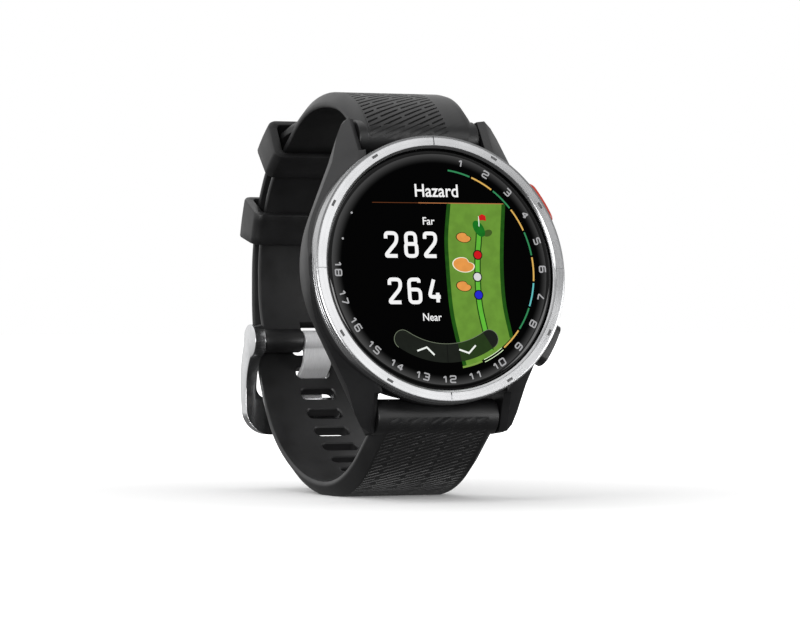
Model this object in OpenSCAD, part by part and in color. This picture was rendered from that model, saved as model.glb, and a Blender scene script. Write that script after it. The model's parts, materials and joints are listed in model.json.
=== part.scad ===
// Golf watch with a round case, a silicone strap on quick-release bars and a pin buckle.
// The watch stands on the flat under its strap. X points to 3 o'clock, Y to the back of the
// wrist loop, Z up, and the origin is the middle of the flat. All sizes are in millimetres.

/* [Case] */
// Radius of the bezel
bezel_r = 20; // [19.5:0.1:20]
// Inner radius of the bezel at its front face
bezel_opening_r = 18.43; // [18.2:0.01:18.8]
// Height of the bezel
bezel_h = 2.2; // [1.8:0.1:2.4]
// Thickness of the case from the bezel's face to the back cover
case_h = 11.4; // [11.2:0.1:11.6]
// Radius of the case flank at 3 and 9 o'clock
flank_r = 20.4; // [20.2:0.1:20.8]
// Distance from the dial centre to a lug tip
lug_reach = 23.5; // [23.2:0.1:23.8]
// Gap between a pair of lugs
lug_gap = 20.2; // [20.1:0.1:20.4]
// Distance from the dial centre to a spring bar
bar_reach = 21; // [20.9:0.1:21.1]
// Depth of a spring bar below the bezel's face
bar_depth = 7.5; // [7.3:0.1:7.7]
// Angle that the dial leans back
dial_tilt = 9.75; // [9:0.25:10.5]

/* [Buttons] */
// Angle of each button above or below 3 o'clock
button_angle = 30; // [28:1:32]
// Width of a button
button_w = 6.8; // [6.2:0.1:7]
// Height of a button
button_h = 3; // [2.6:0.1:3.2]
// Radius of a button's outer face
button_r = 22.1; // [21.6:0.1:22.4]
// Depth of a button's centre below the bezel's face
button_depth = 5.2; // [5:0.1:5.3]

/* [Strap] */
// Width of the strap between the lugs
strap_w = 20; // [19.6:0.1:20]
// Width of the strap at the buckle
strap_rear_w = 18.2; // [17.6:0.1:18.4]
// Thickness of the long strap at its tail
tail_t = 1.9; // [1.7:0.1:2]
// Thickness of the short strap
short_t = 2.4; // [2.2:0.1:2.4]
// Distance between two strap slots
slot_pitch = 4.05; // [3.9:0.05:4.2]
// Length of a strap slot across the strap
slot_w = 5.7; // [5.4:0.1:6]
// Height of a strap slot along the strap
slot_h = 2; // [1.9:0.1:2.1]
// Width of a keeper along the strap, as an angle of the wrist loop
keeper_angle = 13.4; // [12:0.2:14]

/* [Buckle] */
// Half width of the buckle frame
frame_half_w = 11.3; // [11.2:0.1:11.6]
// Width of the tongue
tongue_w = 4.75; // [4.4:0.05:4.9]

/* [Hidden] */

$fn = 96;
small_fn = 32;
overlap = 0.5;              // how far a cutter runs past the face it cuts
running = 0.05;             // radial clearance of a moving fit

// Where the case stands. In the case's frame X is 3 o'clock, Y is 12 o'clock and Z is 0 at the
// bezel's face and points out of it, so a depth is a negative Z.
dial_centre = [0, -23.3, 34.3];

// Layers of the case, as depths from the bezel's face
lens_front = 0.45;
lens_back = 1.65;
ring_back = 1.8;
panel_back = 2.7;
carrier_lip_back = 3;
carrier_back = 3.6;
board_back = 4.2;
rim_back = 4;
switch_back = 5.9;
antenna_back = 6.2;
motor_back = 6.4;
battery_front = 6.5;
cover_front = 10.2;

// Radii of the case
lens_r = 18.05;
bezel_wall_r = 18.1;
ring_inner_r = 15.45;
gasket_r = 17.9;
gasket_w = 1.3;
panel_r = 15.35;
deck_r = 15.5;
cavity_r = 15.2;
cover_r = 16.6;
waist_r = 18.1;             // case body between a pair of lugs
screw_x = 11.6;
screw_y = 13.2;
ear_r = 1.7;
screw_head_r = 1;
screw_thread_r = 0.6;
screw_l = 3.2;
seal_r = 15.8;
seal_groove_w = 0.6;
seal_groove_d = 0.5;

// The lug sides are tangent planes of the flank. A second, tilted set trims them at the back.
lug_side_angle = 26.6;
back_side_angle = 20.8;
back_tilt = 27;
back_edge_depth = 5.7;
lug_bend_y = 16.7;
lug_corner = [12.6, 22.2];
lug_end_x = 11.1;
facet_point = [10.7, 18.7, -2.96];
facet_slope = [0.78, 0.49];
chamfer_point = [11, 18.7, -3.2];
chamfer_slope = -0.75;
chamfer_inner_x = 9.9;

// Charging port in the back cover
charge_y = -11.7;
contact_r = 0.45;
contact_xs = [-3, -1, 1, 3];
charge_block_w = 8.4;
charge_block_d = 3.8;
charge_recess = 0.5;

// Button parts, as radii from the case's axis
cap_inner_r = 18.9;
pocket_r = 18.2;
pocket_gap = 0.15;
spring_seat_r = 17.2;
spring_pocket_r = 1.45;
stem_r = 0.75;
stem_end_r = 14.3;
clip_inner_r = 14.7;
clip_t = 0.35;
clip_r = 0.95;
clip_groove_r = 0.5;
o_ring_at = 16.2;
o_ring_w = 0.5;
o_ring_r = 1.2;
switch_face_r = 13;
switch_body_l = 2;
plunger_end_r = 13.6;
button_spring_r = 1.15;
button_wire_r = 0.14;

// Spring bars
bar_hole_r = 0.45;
bar_hole_end = 11.3;
bar_tip_r = 0.4;
bar_tip_end = 11.2;
bar_tube_r = 0.9;
bar_bore_r = 0.65;
bar_tube_end = 9.7;
bar_flange_r = 0.6;
bar_flange_l = 1.6;
fixed_pin_inner = 8;        // where the fixed pin's head ends inside the tube
barrel_r = 2.7;
barrel_end = 9.8;
lever_x = 6.6;
lever_r = 0.35;
lever_travel = 1.3;
lever_reach = 3.3;
bar_spring_r = 0.45;
bar_wire_r = 0.1;

// Strap paths. A pose is [y, z, heading] on the wrist side, and a step is [length, turn].
// The outside of the strap is on the right of the heading.
lower_start = [-19.92, 11.79, -39.5];
lower_steps = [[7.4, 0], [14.75, 39.5], [33.06, 59], [12.88, 31], [3.3, 0], [27.6, 62],
    [2.7, -3]];
upper_start = [25.01, 23.99, 55.2];
upper_steps = [[5.93, 24.8], [28.65, 72], [3, -3], [18.9, 41.3], [8.6, 39.7]];
lower_l = path_length(lower_steps);
upper_l = path_length(upper_steps);
foot_at = 22.15;            // path length at the lowest point of the long strap
foot_t = 2.5;
lug_end_t = 2;
edge_t = 0.95;              // height of the strap's plain side face
bevel_w = 1.6;
tip_l = 7;
lower_taper = [40, 60];     // where along its path each strap narrows
upper_taper = [30, 50];
side_clearance = 0.15;
strap_rings = 64;
first_slot_at = 31.5;
slots = 14;
slot_corner_r = 0.8;

// The wrist loop's centre, about which both strap layers and the keepers curve
loop_centre = [4.8, 33.4];
keeper_r = [22.55, 27.65];
keeper_wall = 0.95;
keeper_side_wall = 1.4;
keeper_half_w = 10.8;
lower_keeper_at = 20;
upper_keeper_at = 52;

// Buckle
pin_at = [26, 23.3];
pin_r = 0.75;
pin_end = 10.9;
frame_inner_half_w = 9.5;
frame_t = 2;
buckle_barrel_r = 1.9;
buckle_barrel_end = 9.1;
notch_half_w = 2.7;
frame_start = [26, 23.3, -48];
frame_steps = [[8, -42], [8.8, -29]];
frame_hub_r = 2.6;
frame_extra_t = 2;          // how much thicker the plate is at the pin
frame_low_z = 8.45;
frame_corner_r = 3.6;
frame_window_z = 14.2;      // lower edge of the opening between the arms
frame_window_r = 1.8;
tongue_seat_half_w = 2.6;
tongue_seat_at = [9, 10.2, 11.4, 12.6];     // along the frame's path
tongue_t = 0.9;
tongue_ring_r = 1.6;
tongue_start = [25.4, 22.6, -90];
tongue_steps = [[1.6, 0], [2.4, 50], [3.5, 0], [2.1, -64], [2.7, 0]];

// ---------------------------------------------------------------- paths

function sum(v, i = 0) = i == len(v) ? 0 : v[i] + sum(v, i + 1);
function reversed(v) = [for (i = [len(v) - 1:-1:0]) v[i]];
function flipped(points, x, y) = [for (p = points) [p[0] * x, p[1] * y]];
function path_length(steps) = sum([for (step = steps) step[0]]);

// Pose at the end of one step, which is a straight or an arc
function after(pose, step) =
    let (h = pose[2], turn = step[1])
    abs(turn) < 0.001
        ? [pose[0] + step[0] * cos(h), pose[1] + step[0] * sin(h), h]
        : let (r = step[0] * 180 / (PI * turn), g = h + turn)
            [pose[0] + r * (sin(g) - sin(h)), pose[1] + r * (cos(h) - cos(g)), g];

// Pose at a distance s along a whole path
function pose_at(pose, steps, s, i = 0) =
    i == len(steps) - 1 || s <= steps[i][0]
        ? after(pose, [s, steps[i][1] * s / steps[i][0]])
        : pose_at(after(pose, steps[i]), steps, s - steps[i][0], i + 1);

// Point at x across the strap and t out from its wrist side
function strap_point(pose, x, t) =
    [x, pose[0] + t * sin(pose[2]), pose[1] - t * cos(pose[2])];

// Point of a y-z outline that is t to the left of a pose
function beside(pose, t) = [pose[0] - t * sin(pose[2]), pose[1] + t * cos(pose[2])];

// Value that goes smoothly from a to b as s goes from s0 to s1
function ease(a, b, s, s0, s1) =
    let (u = min(1, max(0, (s - s0) / (s1 - s0)))) a + (b - a) * u * u * (3 - 2 * u);

// Cross-section of a strap: plain sides, then a bevel to the outer face
function strap_ring(pose, half_w, t) =
    let (edge = min(edge_t, t * 0.45), bevel = min(bevel_w, half_w * 0.4))
    [for (p = [[half_w, 0], [half_w, edge], [half_w - bevel, t],
        [-half_w + bevel, t], [-half_w, edge], [-half_w, 0]]) strap_point(pose, p[0], p[1])];

function lower_thickness(s) = s < foot_at
    ? ease(lug_end_t, foot_t, s, 0, foot_at - 4)
    : ease(foot_t, tail_t, s, foot_at + 6, foot_at + 22);

// Half width of the long strap, with its rounded tip
function lower_half_w(s) =
    let (half_w = ease(strap_w, strap_rear_w, s, lower_taper[0], lower_taper[1]) / 2
            - side_clearance,
        u = max(0, (s - (lower_l - tip_l)) / tip_l))
    half_w * sqrt(max(0.03, 1 - pow(u, 3)));

function upper_half_w(s) =
    ease(strap_rear_w, strap_w, s, upper_taper[0], upper_taper[1]) / 2 - side_clearance;

// Rings lie closer together at the long strap's tip
function tip_spacing(u) = u < 0.85 ? u : 0.85 + 0.15 * (1 - pow((1 - u) / 0.15, 1.6));

// ---------------------------------------------------------------- shared shapes

// A closed solid through a list of rings with equal numbers of points
module sweep(rings) {
    n = len(rings[0]);
    m = len(rings);
    points = [for (ring = rings) each ring];
    sides = [for (i = [0:m - 2], j = [0:n - 1])
        let (a = i * n + j, b = a + n, c = (i + 1) * n + (j + 1) % n, d = i * n + (j + 1) % n)
        each [[a, b, c], [a, c, d]]];
    first_cap = [for (j = [0:n - 1]) j];
    last_cap = [for (j = [n - 1:-1:0]) (m - 1) * n + j];
    polyhedron(points, concat([first_cap, last_cap], sides), convexity = 8);
}

// A wire coil along Z, with its ends closed by flat caps
module coil(r, wire_r, length, turns) {
    sides = 6;
    per_turn = 12;
    steps = turns * per_turn;
    pitch = (length - 2 * wire_r) / steps;
    sweep([for (i = [0:steps])
        let (a = i * 360 / per_turn)
        [for (j = [0:sides - 1])
            let (b = -j * 360 / sides, q = r + wire_r * cos(b))
            [q * cos(a), q * sin(a), wire_r + i * pitch + wire_r * sin(b)]]]);
}

module ring(outer_r, inner_r, z0, z1) {
    difference() {
        translate([0, 0, z0]) cylinder(r = outer_r, h = z1 - z0);
        translate([0, 0, z0 - overlap]) cylinder(r = inner_r, h = z1 - z0 + 2 * overlap);
    }
}

module disc(r, z0, z1) {
    translate([0, 0, z0]) cylinder(r = r, h = z1 - z0);
}

// A block with its middle at x and y
module block(w, d, z0, z1) {
    translate([-w / 2, -d / 2, z0]) cube([w, d, z1 - z0]);
}

module rounded_rect(w, h, r) {
    square([w, h - 2 * r], center = true);
    square([w - 2 * r, h], center = true);
    for (x = [-1, 1], y = [-1, 1])
        translate([x * (w / 2 - r), y * (h / 2 - r)]) circle(r = r, $fn = small_fn);
}

// Puts its children in the case's frame
module on_case() {
    translate(dial_centre) rotate([90 - dial_tilt, 0, 0]) children();
}

// Z runs outwards along a button and Y round the case; side is 1 for 2 o'clock, -1 for 4 o'clock
module at_button(side) {
    on_case() rotate([0, 0, side * button_angle]) translate([0, 0, -button_depth])
        rotate([0, 90, 0]) children();
}

// Z runs along a spring bar, to 3 o'clock, and Y points from the bar to the wrist
module at_bar(side) {
    on_case() translate([0, side * bar_reach, -bar_depth])
        rotate([270 - side * 45, 0, 0]) rotate([0, 90, 0]) children();
}

// Extrudes a y-z outline along X
module along_x(x0, x1) {
    translate([x0, 0, 0]) rotate([90, 0, 90]) linear_extrude(x1 - x0) children();
}

// A plate seen edge on, centred on a path: t thick at the end and t + extra at the start
module path_plate(start, steps, t, extra = 0) {
    pieces = 28;
    function half_t(i) = (t + extra * pow(1 - i / pieces, 2)) / 2;
    poses = [for (i = [0:pieces]) pose_at(start, steps, path_length(steps) * i / pieces)];
    polygon(concat([for (i = [0:pieces]) beside(poses[i], -half_t(i))],
        reversed([for (i = [0:pieces]) beside(poses[i], half_t(i))])));
}

// ---------------------------------------------------------------- case

// Side of a lug in the first quadrant: where it leaves the flank, and where it ends at end_y
function lug_side(angle, end_y) =
    let (x = flank_r * cos(angle), y = flank_r * sin(angle))
    [[x, y], [x - (end_y - y) * tan(angle), end_y]];

// Outline of the case from the front: a circle and its tangents to the four lug tips
module case_outline() {
    quarter = concat(lug_side(lug_side_angle, lug_bend_y), [lug_corner, [lug_end_x, lug_reach]]);
    circle(r = flank_r);
    polygon(concat(quarter, reversed(flipped(quarter, -1, 1)), flipped(quarter, -1, -1),
        reversed(flipped(quarter, 1, -1))));
}

// The same with steeper lug sides, for one side only: it runs far past the other side
module bevel_outline() {
    far = 60;
    half = concat(lug_side(back_side_angle, lug_reach + 3), [[-far, lug_reach + 3]]);
    circle(r = flank_r);
    polygon(concat(half, reversed(flipped(half, 1, -1))));
}

// Everything in front of a sloping plane that passes through point
module in_front_of(point, slope_x, slope_y) {
    fall = sqrt(slope_x * slope_x + slope_y * slope_y);
    translate(point) rotate([0, 0, atan2(slope_y, slope_x)]) rotate([0, atan(fall), 0])
        translate([-40, -40, 0]) cube([80, 80, 30]);
}

// Solid case with its lugs, before any hollow is cut
module case_body() {
    reach = 60;
    intersection() {
        translate([0, 0, -case_h]) linear_extrude(case_h - bezel_h) case_outline();
        rear_bevel();
        along_x(-reach, reach) polygon([[-15.5, -case_h], [15.5, -case_h], [22, -10.4],
            [lug_reach + overlap, -8.6], [lug_reach + overlap, 0], [-lug_reach - overlap, 0],
            [-lug_reach - overlap, -8.6], [-22, -10.4]]);
    }
}

// The rear bevel of the flank: tilted copies of the outline, one for each side
module rear_bevel() {
    intersection_for(side = [0, 1]) mirror([side, 0, 0])
        translate([flank_r, 0, -back_edge_depth]) rotate([0, back_tilt, 0])
        translate([-flank_r, 0, -40]) linear_extrude(80) bevel_outline();
}

// The lugs' front facets and the chamfers along their inner edges
module lug_facets() {
    for (x = [0, 1], y = [0, 1]) mirror([x, 0, 0]) mirror([0, y, 0]) {
        difference() {
            in_front_of(facet_point, facet_slope[0], facet_slope[1]);
            disc(bezel_r, -case_h, overlap);
        }
        intersection() {
            in_front_of(chamfer_point, chamfer_slope, facet_slope[1]);
            translate([chamfer_inner_x, waist_r, -case_h])
                cube([chamfer_point[0] - chamfer_inner_x + 0.2, 10, case_h]);
        }
    }
}

module strap_gaps() {
    difference() {
        for (y = [0, 1]) mirror([0, y, 0])
            translate([-lug_gap / 2, 9, -case_h - overlap])
            cube([lug_gap, 20, case_h + 2 * overlap]);
        disc(waist_r, -case_h - 1, overlap + 1);
        disc(bezel_r - 0.1, -rim_back, overlap + 1);
    }
}

module cover_outline(gap) {
    circle(r = cover_r + gap);
    for (x = [-1, 1], y = [-1, 1]) translate([x * screw_x, y * screw_y]) circle(r = ear_r + gap);
}

module button_cuts(side) {
    at_button(side) {
        translate([0, 0, pocket_r]) linear_extrude(8)
            rounded_rect(button_h + 2 * pocket_gap, button_w + 2 * pocket_gap, 1.3);
        disc(spring_pocket_r, spring_seat_r, pocket_r + overlap);
        disc(stem_r + running, cavity_r - 2, pocket_r);
        disc(o_ring_r, o_ring_at, o_ring_at + o_ring_w);
    }
}

module case_shell() {
    color([0.09, 0.09, 0.1]) difference() {
        on_case() difference() {
            case_body();
            lug_facets();
            strap_gaps();
            disc(deck_r, -carrier_lip_back, overlap);
            disc(cavity_r, -case_h - 1, 1);
            translate([0, 0, -case_h - 1]) linear_extrude(case_h - cover_front + 1)
                cover_outline(0.06);
            ring(seal_r + seal_groove_w / 2, seal_r - seal_groove_w / 2, -cover_front - overlap,
                -cover_front + seal_groove_d);
            for (x = [-1, 1], y = [-1, 1]) translate([x * screw_x, y * screw_y, 0])
                disc(screw_thread_r + 0.02, -cover_front - overlap, -cover_front + screw_l);
            for (y = [-1, 1]) translate([0, y * bar_reach, -bar_depth]) rotate([0, 90, 0])
                disc(bar_hole_r, -bar_hole_end, bar_hole_end);
        }
        for (side = [-1, 1]) button_cuts(side);
    }
}

module bezel() {
    lip = bezel_opening_r - bezel_wall_r;
    edge = 0.35;
    groove = 0.12;
    color([0.78, 0.79, 0.8]) on_case() rotate_extrude() polygon([
        [bezel_wall_r, -bezel_h], [bezel_wall_r, -lip], [bezel_opening_r, 0],
        [bezel_r - edge, 0], [bezel_r, -edge], [bezel_r, -0.8], [bezel_r - groove, -0.9],
        [bezel_r, -1], [bezel_r, -1.4], [bezel_r - groove, -1.5], [bezel_r, -1.6],
        [bezel_r, -bezel_h]]);
}

module lens() {
    edge = 0.4;
    color([0.05, 0.05, 0.06]) on_case() rotate_extrude() polygon([
        [0, -lens_back], [lens_r, -lens_back], [lens_r, -lens_front - edge],
        [lens_r - edge, -lens_front], [0, -lens_front]]);
}

module number_ring() {
    color([0.03, 0.03, 0.03]) on_case() ring(lens_r, ring_inner_r, -ring_back, -lens_back);
}

module lens_gasket() {
    color([0.15, 0.15, 0.15]) on_case() ring(gasket_r, gasket_r - gasket_w, -bezel_h, -ring_back);
}

module display_panel() {
    color([0.02, 0.02, 0.02]) on_case() disc(panel_r, -panel_back, -lens_back);
}

module display_carrier() {
    color([0.25, 0.25, 0.27]) on_case() {
        disc(deck_r - 0.05, -carrier_lip_back, -panel_back);
        disc(cavity_r - 0.2, -carrier_back, -carrier_lip_back);
    }
}

// ---------------------------------------------------------------- electronics

module main_board() {
    chip_h = 0.9;
    color([0.05, 0.25, 0.12]) on_case() {
        disc(cavity_r - 0.3, -board_back, -carrier_back);
        translate([1.5, -4, 0]) block(7, 7, -board_back - chip_h, -board_back);
        translate([-3.5, -11, 0]) block(5, 4, -board_back - chip_h, -board_back);
        translate([3.5, -11, 0]) block(4, 3, -board_back - chip_h, -board_back);
    }
}

module satellite_antenna() {
    color([0.85, 0.8, 0.7]) on_case() translate([0, 9.4, 0])
        block(8, 8, -antenna_back, -board_back);
}

module battery() {
    color([0.7, 0.72, 0.75]) on_case() translate([0, 1.7, -cover_front])
        linear_extrude(cover_front - battery_front) rounded_rect(20, 18.6, 1);
}

module vibration_motor() {
    color([0.75, 0.75, 0.75]) on_case() translate([-8.3, -1, 0])
        disc(4, -motor_back, -board_back);
}

// A side-push switch under the board, with its plunger facing the button's stem
module side_switch(side) {
    half_w = 1.8;
    color([0.2, 0.2, 0.2]) {
        on_case() rotate([0, 0, side * button_angle])
            translate([switch_face_r - switch_body_l, -half_w, -switch_back])
            cube([switch_body_l, 2 * half_w, switch_back - board_back]);
        at_button(side) disc(0.45, switch_face_r - overlap, plunger_end_r);
    }
}

module action_switch() { side_switch(1); }
module menu_switch() { side_switch(-1); }

// ---------------------------------------------------------------- back of the case

module at_contacts() {
    for (x = contact_xs) translate([x, charge_y, 0]) children();
}

module back_cover() {
    color([0.12, 0.12, 0.13]) on_case() difference() {
        translate([0, 0, -case_h]) linear_extrude(case_h - cover_front) cover_outline(0);
        translate([0, charge_y, 0]) block(charge_block_w + 0.04, charge_block_d + 0.04,
            -case_h - overlap, 0);
        for (x = [-1, 1], y = [-1, 1]) translate([x * screw_x, y * screw_y, 0]) {
            disc(screw_head_r + 0.1, -case_h - overlap, -case_h + 0.7);
            disc(screw_thread_r + 0.1, -case_h - overlap, 0);
        }
    }
}

module back_seal() {
    color([0.1, 0.1, 0.1]) on_case() ring(seal_r + seal_groove_w / 2 - 0.02,
        seal_r - seal_groove_w / 2 + 0.02, -cover_front, -cover_front + seal_groove_d - 0.02);
}

module back_screws() {
    head_h = 0.6;
    color([0.6, 0.6, 0.62]) on_case()
        for (x = [-1, 1], y = [-1, 1]) translate([x * screw_x, y * screw_y, -case_h + 0.7]) {
            difference() {
                disc(screw_head_r, -head_h, 0);
                rotate([0, 0, 30]) translate([0, 0, -head_h - overlap])
                    cylinder(r = 0.45, h = overlap + 0.35, $fn = 6);
            }
            disc(screw_thread_r, 0, case_h - 0.7 - cover_front + screw_l - 0.3);
        }
}

module charge_block() {
    color([0.05, 0.05, 0.05]) on_case() difference() {
        translate([0, charge_y, 0]) block(charge_block_w, charge_block_d,
            -case_h + charge_recess, -cover_front + 1.2);
        at_contacts() disc(contact_r + 0.02, -case_h, 0);
    }
}

module charge_contacts() {
    color([0.85, 0.7, 0.35]) on_case()
        at_contacts() disc(contact_r, -case_h + charge_recess + 0.1, -cover_front + 2);
}

// ---------------------------------------------------------------- buttons

// Cap of a button, whose outer face is part of a cylinder about the case's axis
module button_cap(side) {
    difference() {
        intersection() {
            at_button(side) translate([0, 0, cap_inner_r]) linear_extrude(5)
                rounded_rect(button_h, button_w, 1.15);
            on_case() disc(button_r, -20, 0);
        }
        at_button(side) disc(stem_r - 0.15, cap_inner_r - overlap, cap_inner_r + 1.2);
    }
}

// Stem with a spigot in the cap and a groove for the clip
module button_stem(side) {
    color([0.7, 0.7, 0.72]) at_button(side) difference() {
        union() {
            disc(stem_r, stem_end_r, cap_inner_r);
            disc(stem_r - 0.17, cap_inner_r, cap_inner_r + 1.2);
        }
        ring(stem_r + 0.3, clip_groove_r, clip_inner_r, clip_inner_r + clip_t);
    }
}

module button_seal(side) {
    color([0.12, 0.12, 0.12]) at_button(side)
        ring(o_ring_r - 0.02, stem_r + 0.03, o_ring_at + 0.02, o_ring_at + o_ring_w - 0.02);
}

module button_spring(side) {
    color([0.75, 0.75, 0.77]) at_button(side) translate([0, 0, spring_seat_r + 0.02])
        coil(button_spring_r, button_wire_r, cap_inner_r - spring_seat_r - 0.04, 3);
}

// Open retaining clip on the inner end of the stem
module button_clip(side) {
    color([0.6, 0.6, 0.62]) at_button(side) difference() {
        ring(clip_r, clip_groove_r + 0.01, clip_inner_r + 0.01, clip_inner_r + clip_t - 0.01);
        translate([-2, -0.3, clip_inner_r - overlap]) cube([2, 0.6, 2]);
    }
}

module action_button_cap() { color([0.75, 0.12, 0.08]) button_cap(1); }
module action_button_stem() { button_stem(1); }
module action_button_seal() { button_seal(1); }
module action_button_spring() { button_spring(1); }
module action_button_clip() { button_clip(1); }
module menu_button_cap() { color([0.1, 0.1, 0.1]) button_cap(-1); }
module menu_button_stem() { button_stem(-1); }
module menu_button_seal() { button_seal(-1); }
module menu_button_spring() { button_spring(-1); }
module menu_button_clip() { button_clip(-1); }

// ---------------------------------------------------------------- spring bars

// Hole for a spring bar and the window for its release lever
module bar_cuts(side) {
    at_bar(side) {
        disc(bar_tube_r + 0.02, -12, 12);
        translate([-0.6, 0, lever_x - lever_travel - 0.8]) cube([1.2, 5, lever_travel + 1.6]);
    }
}

module bar_tube(side) {
    color([0.7, 0.7, 0.72]) at_bar(side) difference() {
        disc(bar_tube_r, -bar_tube_end, bar_tube_end);
        disc(bar_bore_r, -bar_tube_end - overlap, bar_tube_end + overlap);
        translate([-0.42, 0, lever_x - lever_travel - 0.45])
            cube([0.84, 3, lever_travel + 0.9]);
    }
}

module bar_fixed_pin(side) {
    color([0.75, 0.75, 0.77]) at_bar(side) {
        disc(bar_tip_r, -bar_tip_end, -fixed_pin_inner);
        disc(bar_bore_r - 0.01, -bar_tube_end + 0.1, -fixed_pin_inner);
    }
}

// Sliding pin with the lever that draws it in
module bar_release_pin(side) {
    color([0.75, 0.75, 0.77]) at_bar(side) {
        disc(bar_tip_r, lever_x, bar_tip_end);
        disc(bar_flange_r, lever_x - bar_flange_l / 2, lever_x + bar_flange_l / 2);
        translate([0, 0, lever_x]) rotate([-90, 0, 0]) disc(lever_r, 0, lever_reach);
    }
}

module bar_spring(side) {
    gap = 0.02;
    color([0.7, 0.7, 0.7]) at_bar(side) translate([0, 0, -fixed_pin_inner + gap])
        coil(bar_spring_r, bar_wire_r, fixed_pin_inner + lever_x - bar_flange_l / 2 - 2 * gap, 6);
}

module upper_bar_tube() { bar_tube(1); }
module upper_bar_fixed_pin() { bar_fixed_pin(1); }
module upper_bar_release_pin() { bar_release_pin(1); }
module upper_bar_spring() { bar_spring(1); }
module lower_bar_tube() { bar_tube(-1); }
module lower_bar_fixed_pin() { bar_fixed_pin(-1); }
module lower_bar_release_pin() { bar_release_pin(-1); }
module lower_bar_spring() { bar_spring(-1); }

// ---------------------------------------------------------------- straps

module strap_slot(s) {
    p = pose_at(lower_start, lower_steps, s);
    translate([0, p[0], p[1]]) rotate([p[2], 0, 0]) translate([0, 0, -foot_t - 1])
        linear_extrude(foot_t + 2) rounded_rect(slot_w, slot_h, slot_corner_r);
}

module lower_strap() {
    rings = [for (i = [0:strap_rings])
        let (s = lower_l * tip_spacing(i / strap_rings), p = pose_at(lower_start, lower_steps, s))
        strap_ring(p, lower_half_w(s), lower_thickness(s))];
    color([0.07, 0.07, 0.07]) difference() {
        union() {
            sweep(rings);
            at_bar(-1) disc(barrel_r, -barrel_end, barrel_end);
        }
        translate([-15, -15, -5]) cube([30, 30, 5]);
        for (i = [0:slots - 1]) strap_slot(first_slot_at + i * slot_pitch);
        bar_cuts(-1);
    }
}

module upper_strap() {
    rings = [for (i = [0:strap_rings])
        let (s = upper_l * i / strap_rings)
        strap_ring(pose_at(upper_start, upper_steps, s), upper_half_w(s),
            ease(short_t, lug_end_t + 0.4, s, upper_l - 12, upper_l))];
    color([0.07, 0.07, 0.07]) difference() {
        union() {
            sweep(rings);
            at_bar(1) disc(barrel_r, -barrel_end, barrel_end);
            along_x(-buckle_barrel_end, buckle_barrel_end)
                translate(pin_at) circle(r = buckle_barrel_r);
        }
        bar_cuts(1);
        along_x(-12, 12) translate(pin_at) circle(r = pin_r + 0.02, $fn = small_fn);
        along_x(-notch_half_w, notch_half_w) translate(pin_at)
            translate([-3, -3]) square([7, 6.2]);
    }
}

// A loop round both strap layers, as an arc of a rectangular tube
module keeper(middle) {
    color([0.08, 0.08, 0.08]) translate([0, loop_centre[0], loop_centre[1]])
        rotate([middle - keeper_angle / 2, 0, 0]) rotate([90, 0, 90])
        rotate_extrude(angle = keeper_angle, $fn = 192) difference() {
            translate([keeper_r[0] - keeper_wall, -keeper_half_w])
                square([keeper_r[1] - keeper_r[0] + 2 * keeper_wall, 2 * keeper_half_w]);
            translate([keeper_r[0], -keeper_half_w + keeper_side_wall])
                square([keeper_r[1] - keeper_r[0], 2 * (keeper_half_w - keeper_side_wall)]);
        }
}

module lower_keeper() { keeper(lower_keeper_at); }
module upper_keeper() { keeper(upper_keeper_at); }

// ---------------------------------------------------------------- buckle

// A block from the back of the watch to its middle, with round corners seen from the front
module upright(half_w, z0, z1, r) {
    back = 40;
    translate([0, back, (z0 + z1) / 2]) rotate([90, 0, 0]) linear_extrude(back)
        rounded_rect(2 * half_w, z1 - z0, r);
}

// The hollow in the outside of the far bar where the tongue's tip rests
module tongue_seat() {
    poses = [for (s = tongue_seat_at) pose_at(frame_start, frame_steps, s)];
    polygon(concat([for (p = poses) beside(p, 0)],
        reversed([for (p = poses) beside(p, frame_t)])));
}

// A curved plate on the pin. A window leaves two arms and a far bar with a seat for the tongue.
module buckle_frame() {
    top = 45;
    color([0.8, 0.8, 0.82]) difference() {
        union() {
            intersection() {
                along_x(-frame_half_w, frame_half_w)
                    path_plate(frame_start, frame_steps, frame_t, frame_extra_t);
                upright(frame_half_w, frame_low_z, top, frame_corner_r);
            }
            along_x(-frame_half_w, frame_half_w) translate(pin_at) circle(r = frame_hub_r);
        }
        upright(frame_inner_half_w, frame_window_z, top, frame_window_r);
        along_x(-tongue_seat_half_w, tongue_seat_half_w) tongue_seat();
        along_x(-pin_end - 0.02, pin_end + 0.02) translate(pin_at)
            circle(r = pin_r + running, $fn = small_fn);
    }
}

module buckle_pin() {
    color([0.7, 0.7, 0.72]) along_x(-pin_end, pin_end)
        translate(pin_at) circle(r = pin_r, $fn = small_fn);
}

module buckle_tongue() {
    color([0.8, 0.8, 0.82]) along_x(-tongue_w / 2, tongue_w / 2) difference() {
        union() {
            path_plate(tongue_start, tongue_steps, tongue_t);
            translate(pin_at) circle(r = tongue_ring_r);
        }
        translate(pin_at) circle(r = pin_r + running, $fn = small_fn);
    }
}

// ---------------------------------------------------------------- nodes

case_shell();
bezel();
lens();
number_ring();
lens_gasket();
display_panel();
display_carrier();
main_board();
satellite_antenna();
battery();
vibration_motor();
action_switch();
menu_switch();
back_cover();
back_seal();
back_screws();
charge_block();
charge_contacts();
action_button_cap();
action_button_stem();
action_button_seal();
action_button_spring();
action_button_clip();
menu_button_cap();
menu_button_stem();
menu_button_seal();
menu_button_spring();
menu_button_clip();
upper_strap();
lower_strap();
upper_bar_tube();
upper_bar_fixed_pin();
upper_bar_release_pin();
upper_bar_spring();
lower_bar_tube();
lower_bar_fixed_pin();
lower_bar_release_pin();
lower_bar_spring();
lower_keeper();
upper_keeper();
buckle_frame();
buckle_pin();
buckle_tongue();
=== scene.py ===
import json
import math

import bmesh
import bpy
from mathutils import Matrix, Vector


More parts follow.
